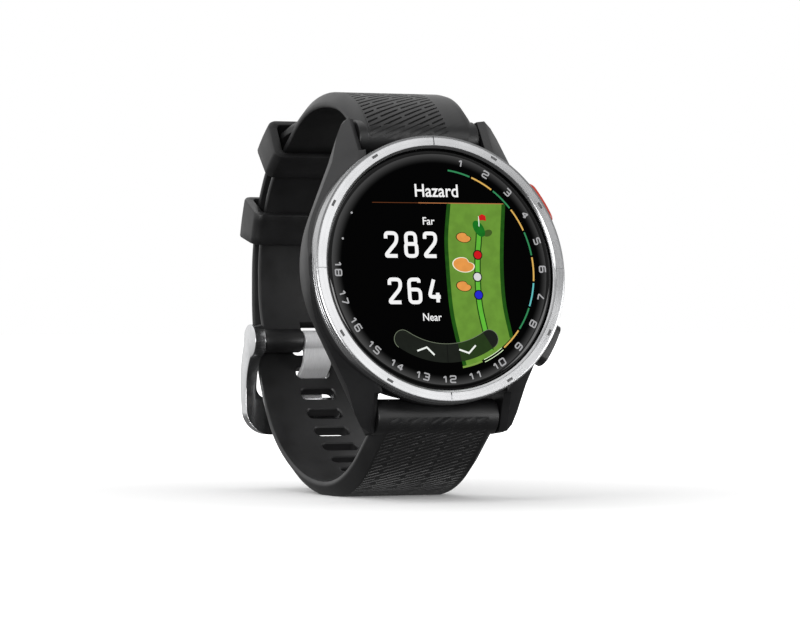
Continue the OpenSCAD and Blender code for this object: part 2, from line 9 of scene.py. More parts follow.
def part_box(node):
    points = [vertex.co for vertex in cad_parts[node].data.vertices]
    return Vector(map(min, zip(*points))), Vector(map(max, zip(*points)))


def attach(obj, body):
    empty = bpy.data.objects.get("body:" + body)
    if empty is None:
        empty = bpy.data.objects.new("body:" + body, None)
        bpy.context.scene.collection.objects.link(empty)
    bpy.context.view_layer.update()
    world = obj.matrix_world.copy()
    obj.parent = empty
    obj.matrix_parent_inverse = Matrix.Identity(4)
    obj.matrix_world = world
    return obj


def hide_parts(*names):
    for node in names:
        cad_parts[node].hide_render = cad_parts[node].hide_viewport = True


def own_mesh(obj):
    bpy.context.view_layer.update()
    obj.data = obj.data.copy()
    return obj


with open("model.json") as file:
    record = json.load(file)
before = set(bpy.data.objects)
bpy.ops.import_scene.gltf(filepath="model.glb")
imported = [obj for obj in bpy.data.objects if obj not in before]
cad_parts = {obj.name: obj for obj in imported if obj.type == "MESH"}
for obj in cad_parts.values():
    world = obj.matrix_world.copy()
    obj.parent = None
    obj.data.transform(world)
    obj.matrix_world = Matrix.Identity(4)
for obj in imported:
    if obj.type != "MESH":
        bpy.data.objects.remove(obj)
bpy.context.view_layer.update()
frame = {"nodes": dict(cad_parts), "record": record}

# Lengths are in millimetres and angles in degrees, and MM turns lengths into metres. Only the
# floor and the lights are given in metres.
MM = 0.001

# ---------------- driving dimensions

# Bezel and glass, as radii and depths from the bezel's face
BEZEL_R = 20
BEZEL_OPENING_R = 18.43
BEZEL_WALL_R = 18.1
BEZEL_H = 2.2
BEZEL_SLOPE = 0.09
HOUR_DASH_R = (19.06, 19.38)
HOUR_DASH_ANGLE = 1.45
HOUR_DASH_D = 0.16
HOUR_LINE_ANGLE = 0.24
HOUR_LINE_D = 0.2
GLASS_R = 18.05
GLASS_FRONT = -0.45
GLASS_BACK = -1.65
GLASS_GLOSS_R = 15.8
NUMBER_R = 16.45
SCORE_R = 14.95

# Strap paths. A pose is (y, z, heading) on the wrist side, and a step is (length, turn).
# The outside of the strap is on the right of the heading.
LOWER_START = (-19.92, 11.79, -39.5)
LOWER_STEPS = ((7.4, 0), (14.75, 39.5), (33.06, 59), (12.88, 31), (3.3, 0), (27.6, 62),
               (2.7, -3))
UPPER_START = (25.01, 23.99, 55.2)
UPPER_STEPS = ((5.93, 24.8), (28.65, 72), (3, -3), (18.9, 41.3), (8.6, 39.7))
LUG_W = 20
REAR_W = 18.2
LOWER_TAPER = (40, 60)
UPPER_TAPER = (30, 50)
SIDE_CLEARANCE = 0.15
LUG_END_T = 2
UPPER_END_T = 2.4
FOOT_T = 2.5
TAIL_T = 1.9
SHORT_T = 2.4
FOOT_AT = 22.15
TIP_L = 7
MIDDLE_HALF_W = 3.6
WRAP_L = 2.4
EDGE_T = 0.95
BEVEL_W = 1.6
BARREL_R = 2.7
BARREL_HALF_W = 9.8
BUCKLE_BARREL_R = 1.9
NOTCH_HALF_W = 2.7
PIN_ROLL_W = 6.4
BAR_BORE_R = 0.92
PIN_BORE_R = 0.77
LEVER_WINDOW_X = (4.5, 7.4)
LEVER_WINDOW_W = 1.2
LEVER_WINDOW_REACH = 5

# Slots of the long strap
SLOTS = 14
FIRST_SLOT_AT = 31.5
SLOT_PITCH = 4.05
SLOT_W = 5.7
SLOT_H = 2

# Grooves moulded in the straps' outer faces
GROOVE_PITCH = 0.8
GROOVE_W = 0.32
GROOVE_D = 0.24
GROOVE_SLOPE = 0.46
GROOVE_GAP = 0.5
GAP_PITCH = 4
GROOVE_WALL = 0.09
FIRST_GAP_AT = 2.1
GROOVE_FADE_L = 1.2
BORDER_AT = 0.18
BORDER_D = 0.1
LOWER_GROOVES_X = (-7.9, 7.9)
LOWER_GROOVES_END = 27.5
UPPER_GROOVES_X = (-8.0, 4.4)
UPPER_GROOVES_START = 13

# Keepers
LOOP_CENTRE = (4.8, 33.4)
KEEPER_R = (22.55, 27.65)
KEEPER_WALL = 0.95
KEEPER_SIDE_WALL = 1.4
KEEPER_HALF_W = 10.8
KEEPER_ANGLE = 13.4
KEEPERS_AT = {"lower": 20, "upper": 52}

# Faces that meet at more than this angle keep a sharp edge on the silicone pieces
CREASE_ANGLE = 40

# Printed and lit layers stand on the glass, each a little higher than the one before
LAYER_ROOT = 0.01
LAYER_T = 0.006


# ---------------- places

def centre_of(node):
    low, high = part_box(node)
    return (low + high) / 2


def mount(name):
    return next(m for m in frame["record"]["mounts"] if m["name"] == name)


DIAL_NORMAL = -Vector(mount("back_face")["axis"])
DIAL_UP = Vector((1, 0, 0)).cross(DIAL_NORMAL) * -1
DIAL_CENTRE = centre_of("bezel") + DIAL_NORMAL * BEZEL_H / 2 * MM
CASE = Matrix((
    (1, 0, 0, DIAL_CENTRE.x),
    (0, DIAL_UP.y, DIAL_NORMAL.y, DIAL_CENTRE.y),
    (0, DIAL_UP.z, DIAL_NORMAL.z, DIAL_CENTRE.z),
    (0, 0, 0, 1)))


def on_case(point):
    """Row-frame place of a point given in the case's frame: X is 3 o'clock, Y 12, Z out."""
    return CASE @ (Vector(point) * MM)


def total(steps):
    return sum(length for length, _ in steps)


def after(pose, length, turn):
    y, z, heading = pose
    h = math.radians(heading)
    if abs(turn) < 0.001:
        return (y + length * math.cos(h), z + length * math.sin(h), heading)
    r = length / math.radians(turn)
    g = h + math.radians(turn)
    return (y + r * (math.sin(g) - math.sin(h)), z + r * (math.cos(h) - math.cos(g)),
            heading + turn)


def pose_at(start, steps, s):
    """Pose at a distance s along a path of straights and arcs."""
    pose = start
    for i, (length, turn) in enumerate(steps):
        if s <= length or i == len(steps) - 1:
            return after(pose, s, turn * s / length)
        pose = after(pose, length, turn)
        s -= length


def round_barrel(pose, thickness, s):
    """Pose on a path that goes on round a barrel, whose skin is BARREL_R from its middle."""
    inset = BARREL_R - thickness
    h = math.radians(pose[2])
    middle = (pose[0] - inset * math.sin(h), pose[1] + inset * math.cos(h))
    g = h + s / BARREL_R
    return (middle[0] + inset * math.sin(g), middle[1] - inset * math.cos(g), math.degrees(g))


def beside(pose, x, t):
    """Point at x across a strap and t out from its wrist side."""
    h = math.radians(pose[2])
    return Vector((x, pose[0] + t * math.sin(h), pose[1] - t * math.cos(h)))


def ease(a, b, s, s0, s1):
    u = min(1, max(0, (s - s0) / (s1 - s0)))
    return a + (b - a) * u * u * (3 - 2 * u)


# ---------------- meshes

def new_object(name, data):
    """An object in the scene that shows the data."""
    made = bpy.data.objects.new(name, data)
    bpy.context.scene.collection.objects.link(made)
    return made


def new_piece(name, points, faces):
    mesh = bpy.data.meshes.new(name)
    mesh.from_pydata([tuple(p) for p in points], [], faces)
    mesh.validate()
    return new_object(name, mesh)


def shade(piece, angle=32):
    """Smooth shading that keeps edges sharper than angle."""
    mesh = piece.data
    mesh.shade_smooth()
    mesh.set_sharp_from_angle(angle=math.radians(angle))


def outward(piece):
    bm = bmesh.new()
    bm.from_mesh(piece.data)
    bmesh.ops.recalc_face_normals(bm, faces=bm.faces)
    bm.to_mesh(piece.data)
    bm.free()


def ring_faces(rings, points_in_ring, closed=False):
    """Quads between successive rings of points, with end caps unless the rings close on themselves."""
    n = points_in_ring
    faces = []
    for i in range(rings if closed else rings - 1):
        a, b = i * n, (i + 1) % rings * n
        faces += [(a + j, b + j, b + (j + 1) % n, a + (j + 1) % n) for j in range(n)]
    if not closed:
        faces.append(tuple(reversed(range(n))))
        faces.append(tuple((rings - 1) * n + j for j in range(n)))
    return faces


def swept(name, rings, closed=False):
    """A closed skin through rings that all have the same number of points."""
    piece = new_piece(name, [p for ring in rings for p in ring],
                      ring_faces(len(rings), len(rings[0]), closed))
    outward(piece)
    shade(piece)
    return piece


def turned_ring(profile, angle):
    """A profile of (radius, depth) at an angle round the case's axis."""
    a = math.radians(angle)
    return [on_case((r * math.cos(a), r * math.sin(a), z)) for r, z in profile]


def arc(centre, r, a0, a1, steps):
    """Points on an arc from angle a0 to a1."""
    angles = [math.radians(a0 + (a1 - a0) * i / steps) for i in range(steps + 1)]
    return [(centre[0] + r * math.cos(a), centre[1] + r * math.sin(a)) for a in angles]


def rounded_box(w, h, r, steps=6):
    """Outline of a rectangle with round corners, about its middle."""
    x, y = w / 2 - r, h / 2 - r
    return (arc((x, y), r, 0, 90, steps) + arc((-x, y), r, 90, 180, steps)
            + arc((-x, -y), r, 180, 270, steps) + arc((x, -y), r, 270, 360, steps))


def applied(piece):
    """Turns a piece's modifiers into mesh."""
    bpy.context.view_layer.update()
    graph = bpy.context.evaluated_depsgraph_get()
    mesh = bpy.data.meshes.new_from_object(piece.evaluated_get(graph))
    piece.modifiers.clear()
    piece.data = mesh


def cut(piece, cutter):
    """Takes a cutter out of a piece and removes the cutter."""
    modifier = piece.modifiers.new("cut", "BOOLEAN")
    modifier.operation = "DIFFERENCE"
    modifier.solver = "EXACT"
    modifier.object = cutter
    applied(piece)
    bpy.data.objects.remove(cutter)


def joined(name, pieces):
    """One object from several, which keeps each one's own closed skin."""
    bm = bmesh.new()
    for piece in pieces:
        bm.from_mesh(piece.data)
    mesh = bpy.data.meshes.new(name)
    bm.to_mesh(mesh)
    bm.free()
    for piece in pieces:
        bpy.data.objects.remove(piece)
    return new_object(name, mesh)


def copied(name, node):
    """A piece with a CAD node's shape, shown in its place."""
    piece = new_object(name, frame["nodes"][node].data.copy())
    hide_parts(node)
    return piece


def softened(name, node, width, segments=3):
    """A copy of a CAD node with its seams welded and its sharp edges rounded."""
    weld_distance = 0.002
    flat_angle = 0.3
    edge_angle = 30
    crease_angle = 38
    piece = copied(name, node)
    mesh = piece.data
    bm = bmesh.new()
    bm.from_mesh(mesh)
    bmesh.ops.remove_doubles(bm, verts=bm.verts, dist=weld_distance * MM)
    bmesh.ops.dissolve_limit(bm, angle_limit=math.radians(flat_angle), verts=bm.verts,
                             edges=bm.edges)
    bm.to_mesh(mesh)
    bm.free()
    if "custom_normal" in mesh.attributes:
        mesh.attributes.remove(mesh.attributes["custom_normal"])
    bevel = piece.modifiers.new("soft edges", "BEVEL")
    bevel.width = width * MM
    bevel.segments = segments
    bevel.limit_method = "ANGLE"
    bevel.angle_limit = math.radians(edge_angle)
    bevel.use_clamp_overlap = True
    applied(piece)
    shade(piece, crease_angle)
    return piece


def finish_piece(piece, body, slot, material=None):
    """Gives a piece the body it rides on and a material, which is else the one its slot names."""
    piece.data.materials.clear()
    piece.data.materials.append(material or OF_SLOT[slot])
    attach(piece, body)


# ---------------- materials

def shader(name):
    material = bpy.data.materials.new(name)
    material.use_nodes = True
    tree = material.node_tree
    return material, tree, tree.nodes["Principled BSDF"]


def noise(tree, size, detail=3, stretch=(1, 1, 1)):
    """Noise whose blotches are about size millimetres across."""
    place = tree.nodes.new("ShaderNodeTexCoord")
    scale = tree.nodes.new("ShaderNodeMapping")
    scale.inputs["Scale"].default_value = stretch
    texture = tree.nodes.new("ShaderNodeTexNoise")
    texture.inputs["Scale"].default_value = 1 / (size * MM)
    texture.inputs["Detail"].default_value = detail
    tree.links.new(place.outputs["Object"], scale.inputs["Vector"])
    tree.links.new(scale.outputs["Vector"], texture.inputs["Vector"])
    return texture.outputs["Fac"]


def ramp(tree, value, low, high, at_low, at_high, kind="SMOOTHSTEP"):
    """at_low where value is low or less, at_high where it is high or more, and a ramp between."""
    node = tree.nodes.new("ShaderNodeMapRange")
    node.interpolation_type = kind
    node.inputs["From Min"].default_value = low
    node.inputs["From Max"].default_value = high
    node.inputs["To Min"].default_value = at_low
    node.inputs["To Max"].default_value = at_high
    tree.links.new(value, node.inputs["Value"])
    return node.outputs["Result"]


def between(tree, factor, low, high):
    """A value that runs from low to high as noise does from 0.3 to 0.7."""
    return ramp(tree, factor, 0.3, 0.7, low, high, "LINEAR")


def colour_between(tree, factor, low, high):
    node = tree.nodes.new("ShaderNodeValToRGB")
    node.color_ramp.elements[0].position = 0.35
    node.color_ramp.elements[0].color = (*low, 1)
    node.color_ramp.elements[1].position = 0.65
    node.color_ramp.elements[1].color = (*high, 1)
    tree.links.new(factor, node.inputs["Fac"])
    return node.outputs["Color"]


def bump(tree, bsdf, height, depth):
    """Relief from a height field; depth is in millimetres."""
    node = tree.nodes.new("ShaderNodeBump")
    node.inputs["Distance"].default_value = depth * MM
    tree.links.new(height, node.inputs["Height"])
    tree.links.new(node.outputs["Normal"], bsdf.inputs["Normal"])


def surface(tree, bsdf, pattern, colours, gloss, roughness):
    """Colour that follows one noise and roughness that follows another."""
    tree.links.new(colour_between(tree, pattern, *colours), bsdf.inputs["Base Color"])
    tree.links.new(between(tree, gloss, *roughness), bsdf.inputs["Roughness"])


def scaled(colour, factor):
    return tuple(min(1, c * factor) for c in colour)


def moulded(name, colour, rough, grain=0.12, depth=0.004, specular=0.5, mottle=0.18):
    """Plastic, rubber or paint with a fine grain and slightly uneven gloss."""
    material, tree, bsdf = shader(name)
    broad = noise(tree, 3.5)
    surface(tree, bsdf, broad, (scaled(colour, 1 - mottle), scaled(colour, 1 + mottle)),
            broad, (rough - 0.04, rough + 0.05))
    bsdf.inputs["Specular IOR Level"].default_value = specular
    bump(tree, bsdf, noise(tree, grain, 2), depth)
    return material


def brushed(name, colour, rough, stretch, grain=0.9, depth=0.0015, metallic=1):
    """Metal with fine parallel brush marks, longest where stretch is smallest."""
    material, tree, bsdf = shader(name)
    marks = noise(tree, grain, 4, stretch)
    surface(tree, bsdf, marks, (scaled(colour, 0.86), colour), marks, (rough - 0.05, rough + 0.07))
    bsdf.inputs["Metallic"].default_value = metallic
    bump(tree, bsdf, marks, depth)
    return material


def vector_math(tree, operation, value, constant=None):
    """Outputs of a vector-math node on a value and, where there is one, a constant."""
    node = tree.nodes.new("ShaderNodeVectorMath")
    node.operation = operation
    tree.links.new(value, node.inputs[0])
    if constant is not None:
        node.inputs[1].default_value = constant
    return node.outputs


def radius_from(tree, centre, axis):
    """Distance from an axis, in metres."""
    place = tree.nodes.new("ShaderNodeTexCoord").outputs["Object"]
    offset = vector_math(tree, "SUBTRACT", place, centre)["Vector"]
    across = vector_math(tree, "CROSS_PRODUCT", offset, axis)["Vector"]
    return vector_math(tree, "LENGTH", across)["Value"]


def turned_metal(name, colour, rough, centre, axis):
    """Metal with marks that run round an axis, as a lathe leaves them."""
    material, tree, bsdf = shader(name)
    marks = tree.nodes.new("ShaderNodeTexNoise")
    marks.noise_dimensions = "1D"
    marks.inputs["Scale"].default_value = 1 / (0.3 * MM)
    marks.inputs["Detail"].default_value = 2
    tree.links.new(radius_from(tree, centre, axis), marks.inputs["W"])
    surface(tree, bsdf, marks.outputs["Fac"], (scaled(colour, 0.94), colour),
            noise(tree, 6), (rough - 0.04, rough + 0.05))
    bsdf.inputs["Metallic"].default_value = 1
    bump(tree, bsdf, marks.outputs["Fac"], 0.0002)
    return material


def black_glass(name):
    """Glass over a black mask. Its coating keeps reflections to the rolled edge."""
    material, tree, bsdf = shader(name)
    smears = noise(tree, 9, 4)
    bsdf.inputs["Base Color"].default_value = (0.0006, 0.0006, 0.0007, 1)
    radius = radius_from(tree, DIAL_CENTRE, DIAL_NORMAL)
    gloss = ramp(tree, radius, GLASS_GLOSS_R * MM, GLASS_R * MM, 0.005, 0.5)
    tree.links.new(gloss, bsdf.inputs["Specular IOR Level"])
    tree.links.new(between(tree, smears, 0.03, 0.06), bsdf.inputs["Roughness"])
    bump(tree, bsdf, noise(tree, 14, 1), 0.0008)
    return material


def lit(name, colour, mottle=0.0, size=1.2, strength=1.0):
    """A glowing area: the display's own light, or painted light on the print round it, a little uneven
    where mottle says so.
    """
    material, tree, bsdf = shader(name)
    light = colour_between(tree, noise(tree, size, 2), scaled(colour, 1 - mottle), colour)
    bsdf.inputs["Base Color"].default_value = (0, 0, 0, 1)
    bsdf.inputs["Roughness"].default_value = 0.05
    bsdf.inputs["Specular IOR Level"].default_value = 0.03
    tree.links.new(light, bsdf.inputs["Emission Color"])
    bsdf.inputs["Emission Strength"].default_value = strength
    return material


GLASS = black_glass("black_glass")
# The tongue has the buckle's steel made whiter and nearly matt. This is a painted highlight that
# stands in for the bright reflection it shows; the lamps still light it.
TONGUE_STEEL_PAINTED_BRIGHT = brushed("tongue_steel_painted_bright", (0.9, 0.9, 0.91), 0.32, (20, 1, 1), grain=1.1, depth=0.001,
                       metallic=0.1)
OF_SLOT = {
    "strap_silicone": moulded("silicone", (0.0115, 0.0115, 0.012), 0.42, grain=0.1, depth=0.0035),
    "case_polymer": moulded("case_polymer", (0.0095, 0.0095, 0.0102), 0.4, grain=0.09, depth=0.0025,
                            specular=0.45),
    "cover_polymer": moulded("cover_polymer", (0.02, 0.02, 0.021), 0.5, grain=0.16, depth=0.006),
    "bezel_metal": turned_metal("bezel_metal", (0.48, 0.483, 0.49), 0.25, DIAL_CENTRE, DIAL_NORMAL),
    "lens_glass": GLASS,
    "display": GLASS,
    "print_black": moulded("print_black", (0.006, 0.006, 0.006), 0.2),
    "button_red": moulded("red_anodised", (0.62, 0.045, 0.02), 0.3, grain=0.08, depth=0.002,
                          specular=0.6, mottle=0.1),
    "button_black": moulded("black_anodised", (0.02, 0.02, 0.021), 0.32, grain=0.08, depth=0.002,
                            specular=0.6),
    "buckle_steel": brushed("buckle_steel", (0.74, 0.745, 0.755), 0.2, (20, 1, 1), grain=1.1,
                            depth=0.001),
    "steel": brushed("steel", (0.6, 0.605, 0.615), 0.3, (1, 1, 14)),
    "contact_gold": brushed("gold_plate", (0.85, 0.62, 0.25), 0.25, (1, 1, 8)),
    "battery_foil": brushed("battery_foil", (0.62, 0.64, 0.67), 0.35, (1, 3, 3), grain=2.5,
                            depth=0.01),
    "seal_rubber": moulded("seal_rubber", (0.02, 0.02, 0.02), 0.6),
    "inner_polymer": moulded("inner_polymer", (0.16, 0.16, 0.17), 0.5),
    "board": moulded("board", (0.02, 0.1, 0.045), 0.35, grain=0.5, depth=0.01),
    "antenna_ceramic": moulded("antenna_ceramic", (0.7, 0.66, 0.56), 0.55, grain=0.2, depth=0.006,
                               specular=0.4, mottle=0.06),
}


def finish_cad_nodes():
    """Every CAD node gets its slot's material, also where a detailed piece stands for it."""
    for part in frame["record"]["subparts"]:
        node = frame["nodes"][part["node"]]
        node.data.materials.clear()
        node.data.materials.append(OF_SLOT[part["material_slot"]])


# ---------------- straps

def lower_thickness(s):
    if s < FOOT_AT:
        return ease(LUG_END_T, FOOT_T, s, 0, FOOT_AT - 4)
    return ease(FOOT_T, TAIL_T, s, FOOT_AT + 6, FOOT_AT + 22)


def lower_half_w(s):
    half_w = ease(LUG_W, REAR_W, s, *LOWER_TAPER) / 2 - SIDE_CLEARANCE
    u = max(0, (s - (total(LOWER_STEPS) - TIP_L)) / TIP_L)
    return half_w * math.sqrt(max(0.03, 1 - u ** 3))


def upper_thickness(s):
    length = total(UPPER_STEPS)
    return ease(SHORT_T, UPPER_END_T, s, length - 12, length)


def upper_half_w(s):
    return ease(REAR_W, LUG_W, s, *UPPER_TAPER) / 2 - SIDE_CLEARANCE


FLAT_HALF_W = LUG_W / 2 - SIDE_CLEARANCE


def outer_columns(left, right):
    """Places across the outer face where the grooves' edges and gaps need a point."""
    inner = FLAT_HALF_W - BEVEL_W - 0.3
    cuts = [-inner, inner, left - 0.3, left - BORDER_AT, left - 0.06, left, right, right + 0.15]
    gap = left + FIRST_GAP_AT
    while gap < right:
        cuts += [gap - GROOVE_GAP / 2 - 0.12, gap - GROOVE_GAP / 2, gap + GROOVE_GAP / 2,
                 gap + GROOVE_GAP / 2 + 0.12]
        gap += GAP_PITCH
    x = -inner
    while x < inner:
        if min(abs(x - c) for c in cuts) > 0.35:
            cuts.append(x)
        x += GROOVE_PITCH
    return sorted(set(round(c, 3) for c in cuts))


def side_profile(thickness):
    """Points of the right side, from the wrist side up to the outer face."""
    x = FLAT_HALF_W
    bevel_x = x - BEVEL_W
    return [(x - 0.4, 0), (x - 0.12, 0.07), (x, 0.3), (x, EDGE_T - 0.2), (x - 0.1, EDGE_T + 0.02),
            (bevel_x + 0.35, thickness - 0.16), (bevel_x, thickness - 0.02)]


def end_fade(s, first, last):
    """1 between first and last, and less near either of them, down to 0."""
    return min(1, max(0, (s - first) / GROOVE_FADE_L)) * min(1, max(0, (last - s) / GROOVE_FADE_L))


def groove_depth(x, s, line, zone):
    """Depth of a groove at x and s, for the line with that number."""
    left, right, first, last = zone
    if x < left - 0.001 or x > right + 0.001:
        return 0
    fade = end_fade(s, first, last)
    if line % 2 == 0:
        place = (x - left - FIRST_GAP_AT + GAP_PITCH / 2) % GAP_PITCH - GAP_PITCH / 2
        if abs(place) <= GROOVE_GAP / 2 + 0.001:
            fade = 0
    return GROOVE_D * fade


def border_depth(x, s, zone):
    """Depth of the fine line that runs along the left edge of the grooves."""
    left, _, first, last = zone
    if abs(x - (left - BORDER_AT)) > 0.03:
        return 0
    return BORDER_D * end_fade(s, first, last)


def flat_strap(name, first, last, thickness, zone):
    """A strap laid flat, as x, s and t. Its rows slant, so that the grooves follow them."""
    columns = outer_columns(zone[0], zone[1])
    reach = FLAT_HALF_W * GROOVE_SLOPE + 1
    lines = range(math.floor((first - reach) / GROOVE_PITCH),
                  math.ceil((last + reach) / GROOVE_PITCH) + 1)
    stations = ((0, 0), (GROOVE_WALL, 1), (GROOVE_W - GROOVE_WALL, 1), (GROOVE_W, 0))
    rings = []
    for line in lines:
        for offset, sunk in stations:
            u = line * GROOVE_PITCH + offset
            ring = []
            t_here = thickness(min(last, max(first, u)))
            for x, t in side_profile(t_here)[:-1]:
                ring.append(Vector((x, u - GROOVE_SLOPE * x, t)))
            for x in reversed(columns):
                s = u - GROOVE_SLOPE * x
                t = thickness(min(last, max(first, s)))
                t -= border_depth(x, s, zone) + sunk * groove_depth(x, s, line, zone)
                ring.append(Vector((x, s, t)))
            for x, t in reversed(side_profile(t_here)[:-1]):
                ring.append(Vector((-x, u + GROOVE_SLOPE * x, t)))
            for x in (-6, -3, 0, 3, 6):
                ring.append(Vector((x, u - GROOVE_SLOPE * x, 0)))
            rings.append(ring)
    piece = swept(name, rings)
    trim(piece, first, -1)
    trim(piece, last, 1)
    return piece


def trim(piece, s, side):
    """Cuts a flat strap off square at s and closes the end."""
    bm = bmesh.new()
    bm.from_mesh(piece.data)
    made = bmesh.ops.bisect_plane(bm, geom=[*bm.verts, *bm.edges, *bm.faces],
                                  plane_co=(0, s, 0), plane_no=(0, side, 0), clear_outer=True)
    edges = [e for e in made["geom_cut"] if isinstance(e, bmesh.types.BMEdge)]
    bmesh.ops.contextual_create(bm, geom=edges)
    bmesh.ops.recalc_face_normals(bm, faces=bm.faces)
    bm.to_mesh(piece.data)
    bm.free()


def slot_cutter(places):
    """Prisms for the slots of a flat strap, flared at both faces to leave a chamfer."""
    from_wrist_side = ((-1, 0.3), (-0.02, 0.22), (0.2, 0))
    from_outer_face = ((-0.2, 0), (0.45, 0.3), (1.95, 0.4))
    prisms = []
    for s in places:
        top = lower_thickness(s)
        rings = []
        for t, grow in (*from_wrist_side, *((top + rise, grow) for rise, grow in from_outer_face)):
            outline = rounded_box(SLOT_W + 2 * grow, SLOT_H + 2 * grow, 0.8 + grow)
            rings.append([Vector((x, s + y, t)) for x, y in outline])
        prisms.append(swept("slot_prism", rings))
    return joined("slot_cutter", prisms)


def bent(piece, place, half_w):
    """Bends a flat strap onto its path, and narrows it outside its middle."""
    for vertex in piece.data.vertices:
        x, s, t = vertex.co
        share = (half_w(s) - MIDDLE_HALF_W) / (FLAT_HALF_W - MIDDLE_HALF_W)
        if abs(x) > MIDDLE_HALF_W:
            x = math.copysign(MIDDLE_HALF_W + (abs(x) - MIDDLE_HALF_W) * share, x)
        if half_w(s) < 2 * MIDDLE_HALF_W:
            x = vertex.co.x * half_w(s) / FLAT_HALF_W
        vertex.co = beside(place(s), x, t) * MM
        vertex.co.z = max(0, vertex.co.z)
    piece.data.update()
    outward(piece)
    shade(piece, CREASE_ANGLE)


def barrel(name, middle, radius, x0, x1, steps=48):
    """A rolled strap end with rounded rims, along X."""
    rim = 0.35
    rings = []
    for x, r in ((x0, radius - rim), (x0 + 0.1, radius - 0.12), (x0 + rim, radius),
                 (x1 - rim, radius), (x1 - 0.1, radius - 0.12), (x1, radius - rim)):
        rings.append([Vector((x, middle[0] + y, middle[1] + z)) * MM
                      for y, z in arc((0, 0), r, 0, 360, steps)[:-1]])
    return swept(name, rings)


def rod(node, radius):
    """A round cutter along X through the middle of a node."""
    middle = centre_of(node) / MM
    outline = arc((middle.y, middle.z), radius, 0, 360, 32)[:-1]
    return swept("rod", [[Vector((x, y, z)) * MM for y, z in outline] for x in (-12, 12)])


def lever_window(side):
    """A cutter for the window that a bar's release lever slides in."""
    axis = centre_of(side + "_bar_tube")
    reach = [Vector((0, v.co.y - axis.y, v.co.z - axis.z))
             for v in frame["nodes"][side + "_bar_release_pin"].data.vertices]
    out = max(reach, key=lambda r: r.length).normalized()
    across = Vector((1, 0, 0)).cross(out) * LEVER_WINDOW_W / 2 * MM
    rings = []
    for x in LEVER_WINDOW_X:
        near = Vector((x * MM, axis.y, axis.z))
        far = near + out * LEVER_WINDOW_REACH * MM
        rings.append([near - across, far - across, far + across, near + across])
    return swept("lever_window", rings)


def open_for_bar(piece, side):
    """Takes the room for a spring bar and its release lever out of a strap's end."""
    cut(piece, rod(side + "_bar_tube", BAR_BORE_R))
    cut(piece, lever_window(side))


def bar_roll(side):
    """The rolled end of a strap, open for its spring bar."""
    middle = centre_of(side + "_bar_tube") / MM
    roll = barrel(side + "_roll", (middle.y, middle.z), BARREL_R - 0.02, -BARREL_HALF_W,
                  BARREL_HALF_W)
    open_for_bar(roll, side)
    return roll


def finish_strap(side, pieces):
    whole = joined(side + "_strap_moulding", pieces)
    shade(whole, CREASE_ANGLE)
    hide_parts(side + "_strap")
    finish_piece(whole, "case", "strap_silicone")


def make_lower_strap():
    """The long strap, whose skin goes on round its barrel before the path starts."""
    zone = (*LOWER_GROOVES_X, 0.2 - WRAP_L, LOWER_GROOVES_END)
    strap = flat_strap("lower_strap_skin", -WRAP_L, total(LOWER_STEPS), lower_thickness, zone)
    cut(strap, slot_cutter([FIRST_SLOT_AT + i * SLOT_PITCH for i in range(SLOTS)]))

    def place(s):
        if s < 0:
            return round_barrel(LOWER_START, LUG_END_T, s)
        return pose_at(LOWER_START, LOWER_STEPS, s)

    bent(strap, place, lower_half_w)
    open_for_bar(strap, "lower")
    finish_strap("lower", [strap, bar_roll("lower")])


def make_upper_strap():
    """The short strap, with a notch for the tongue between two rolls on the buckle's pin."""
    length = total(UPPER_STEPS)
    zone = (*UPPER_GROOVES_X, UPPER_GROOVES_START, length + WRAP_L - 0.4)
    strap = flat_strap("upper_strap_skin", 0, length + WRAP_L, upper_thickness, zone)
    notch = ((-1, -1), (2.6, -1), (2.6, 4), (-1, 4))
    cut(strap, swept("notch", [[(x, y, z) for y, z in notch] for x in (-NOTCH_HALF_W, NOTCH_HALF_W)]))

    def place(s):
        if s > length:
            end = pose_at(UPPER_START, UPPER_STEPS, length)
            return round_barrel(end, UPPER_END_T, s - length)
        return pose_at(UPPER_START, UPPER_STEPS, s)

    bent(strap, place, upper_half_w)
    open_for_bar(strap, "upper")
    pin = centre_of("buckle_pin") / MM
    ends = [barrel("pin_roll", (pin.y, pin.z), BUCKLE_BARREL_R, x0, x0 + PIN_ROLL_W)
            for x0 in (-NOTCH_HALF_W - PIN_ROLL_W, NOTCH_HALF_W)]
    for piece in (strap, *ends):
        cut(piece, rod("buckle_pin", PIN_BORE_R))
    finish_strap("upper", [strap, bar_roll("upper"), *ends])


def make_keeper(side):
    """A loop round both strap layers: a rounded rectangular tube bent about the wrist loop."""
    middle = KEEPERS_AT[side]
    mid_r = sum(KEEPER_R) / 2
    inner = (KEEPER_R[1] - KEEPER_R[0], 2 * (KEEPER_HALF_W - KEEPER_SIDE_WALL))
    outer = (inner[0] + 2 * KEEPER_WALL, 2 * KEEPER_HALF_W)
    rim_angle = math.degrees(0.3 / mid_r)
    stations = [(0, 0.3, 0.12), (0.3, 0.09, 0.03), (1, 0, 0)]
    half = KEEPER_ANGLE / 2
    spots = [(-half + k * rim_angle, o, i) for k, o, i in stations]
    spots += [(-half * 0.5, 0, 0), (0, 0, 0), (half * 0.5, 0, 0)]
    spots += [(half - k * rim_angle, o, i) for k, o, i in reversed(stations)]

    def loop(angle, size, corner, grow):
        a = math.radians(middle + angle)
        ring = []
        for r, x in rounded_box(size[0] + 2 * grow, size[1] + 2 * grow, corner):
            q = mid_r + r
            ring.append(Vector((x, LOOP_CENTRE[0] + q * math.cos(a),
                                LOOP_CENTRE[1] + q * math.sin(a))) * MM)
        return ring

    skins = [loop(a, outer, 1.3, -o) for a, o, _ in spots]
    skins += [loop(a, inner, 0.7, i) for a, _, i in reversed(spots)]
    keeper = swept(side + "_keeper_loop", skins, closed=True)
    shade(keeper, CREASE_ANGLE)
    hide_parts(side + "_keeper")
    finish_piece(keeper, side + "_loop", "strap_silicone")


# ---------------- case

def make_case():
    finish_piece(softened("case_body_shell", "case_shell", 0.16), "case", "case_polymer")
    finish_piece(softened("back_cover_plate", "back_cover", 0.15), "case", "cover_polymer")


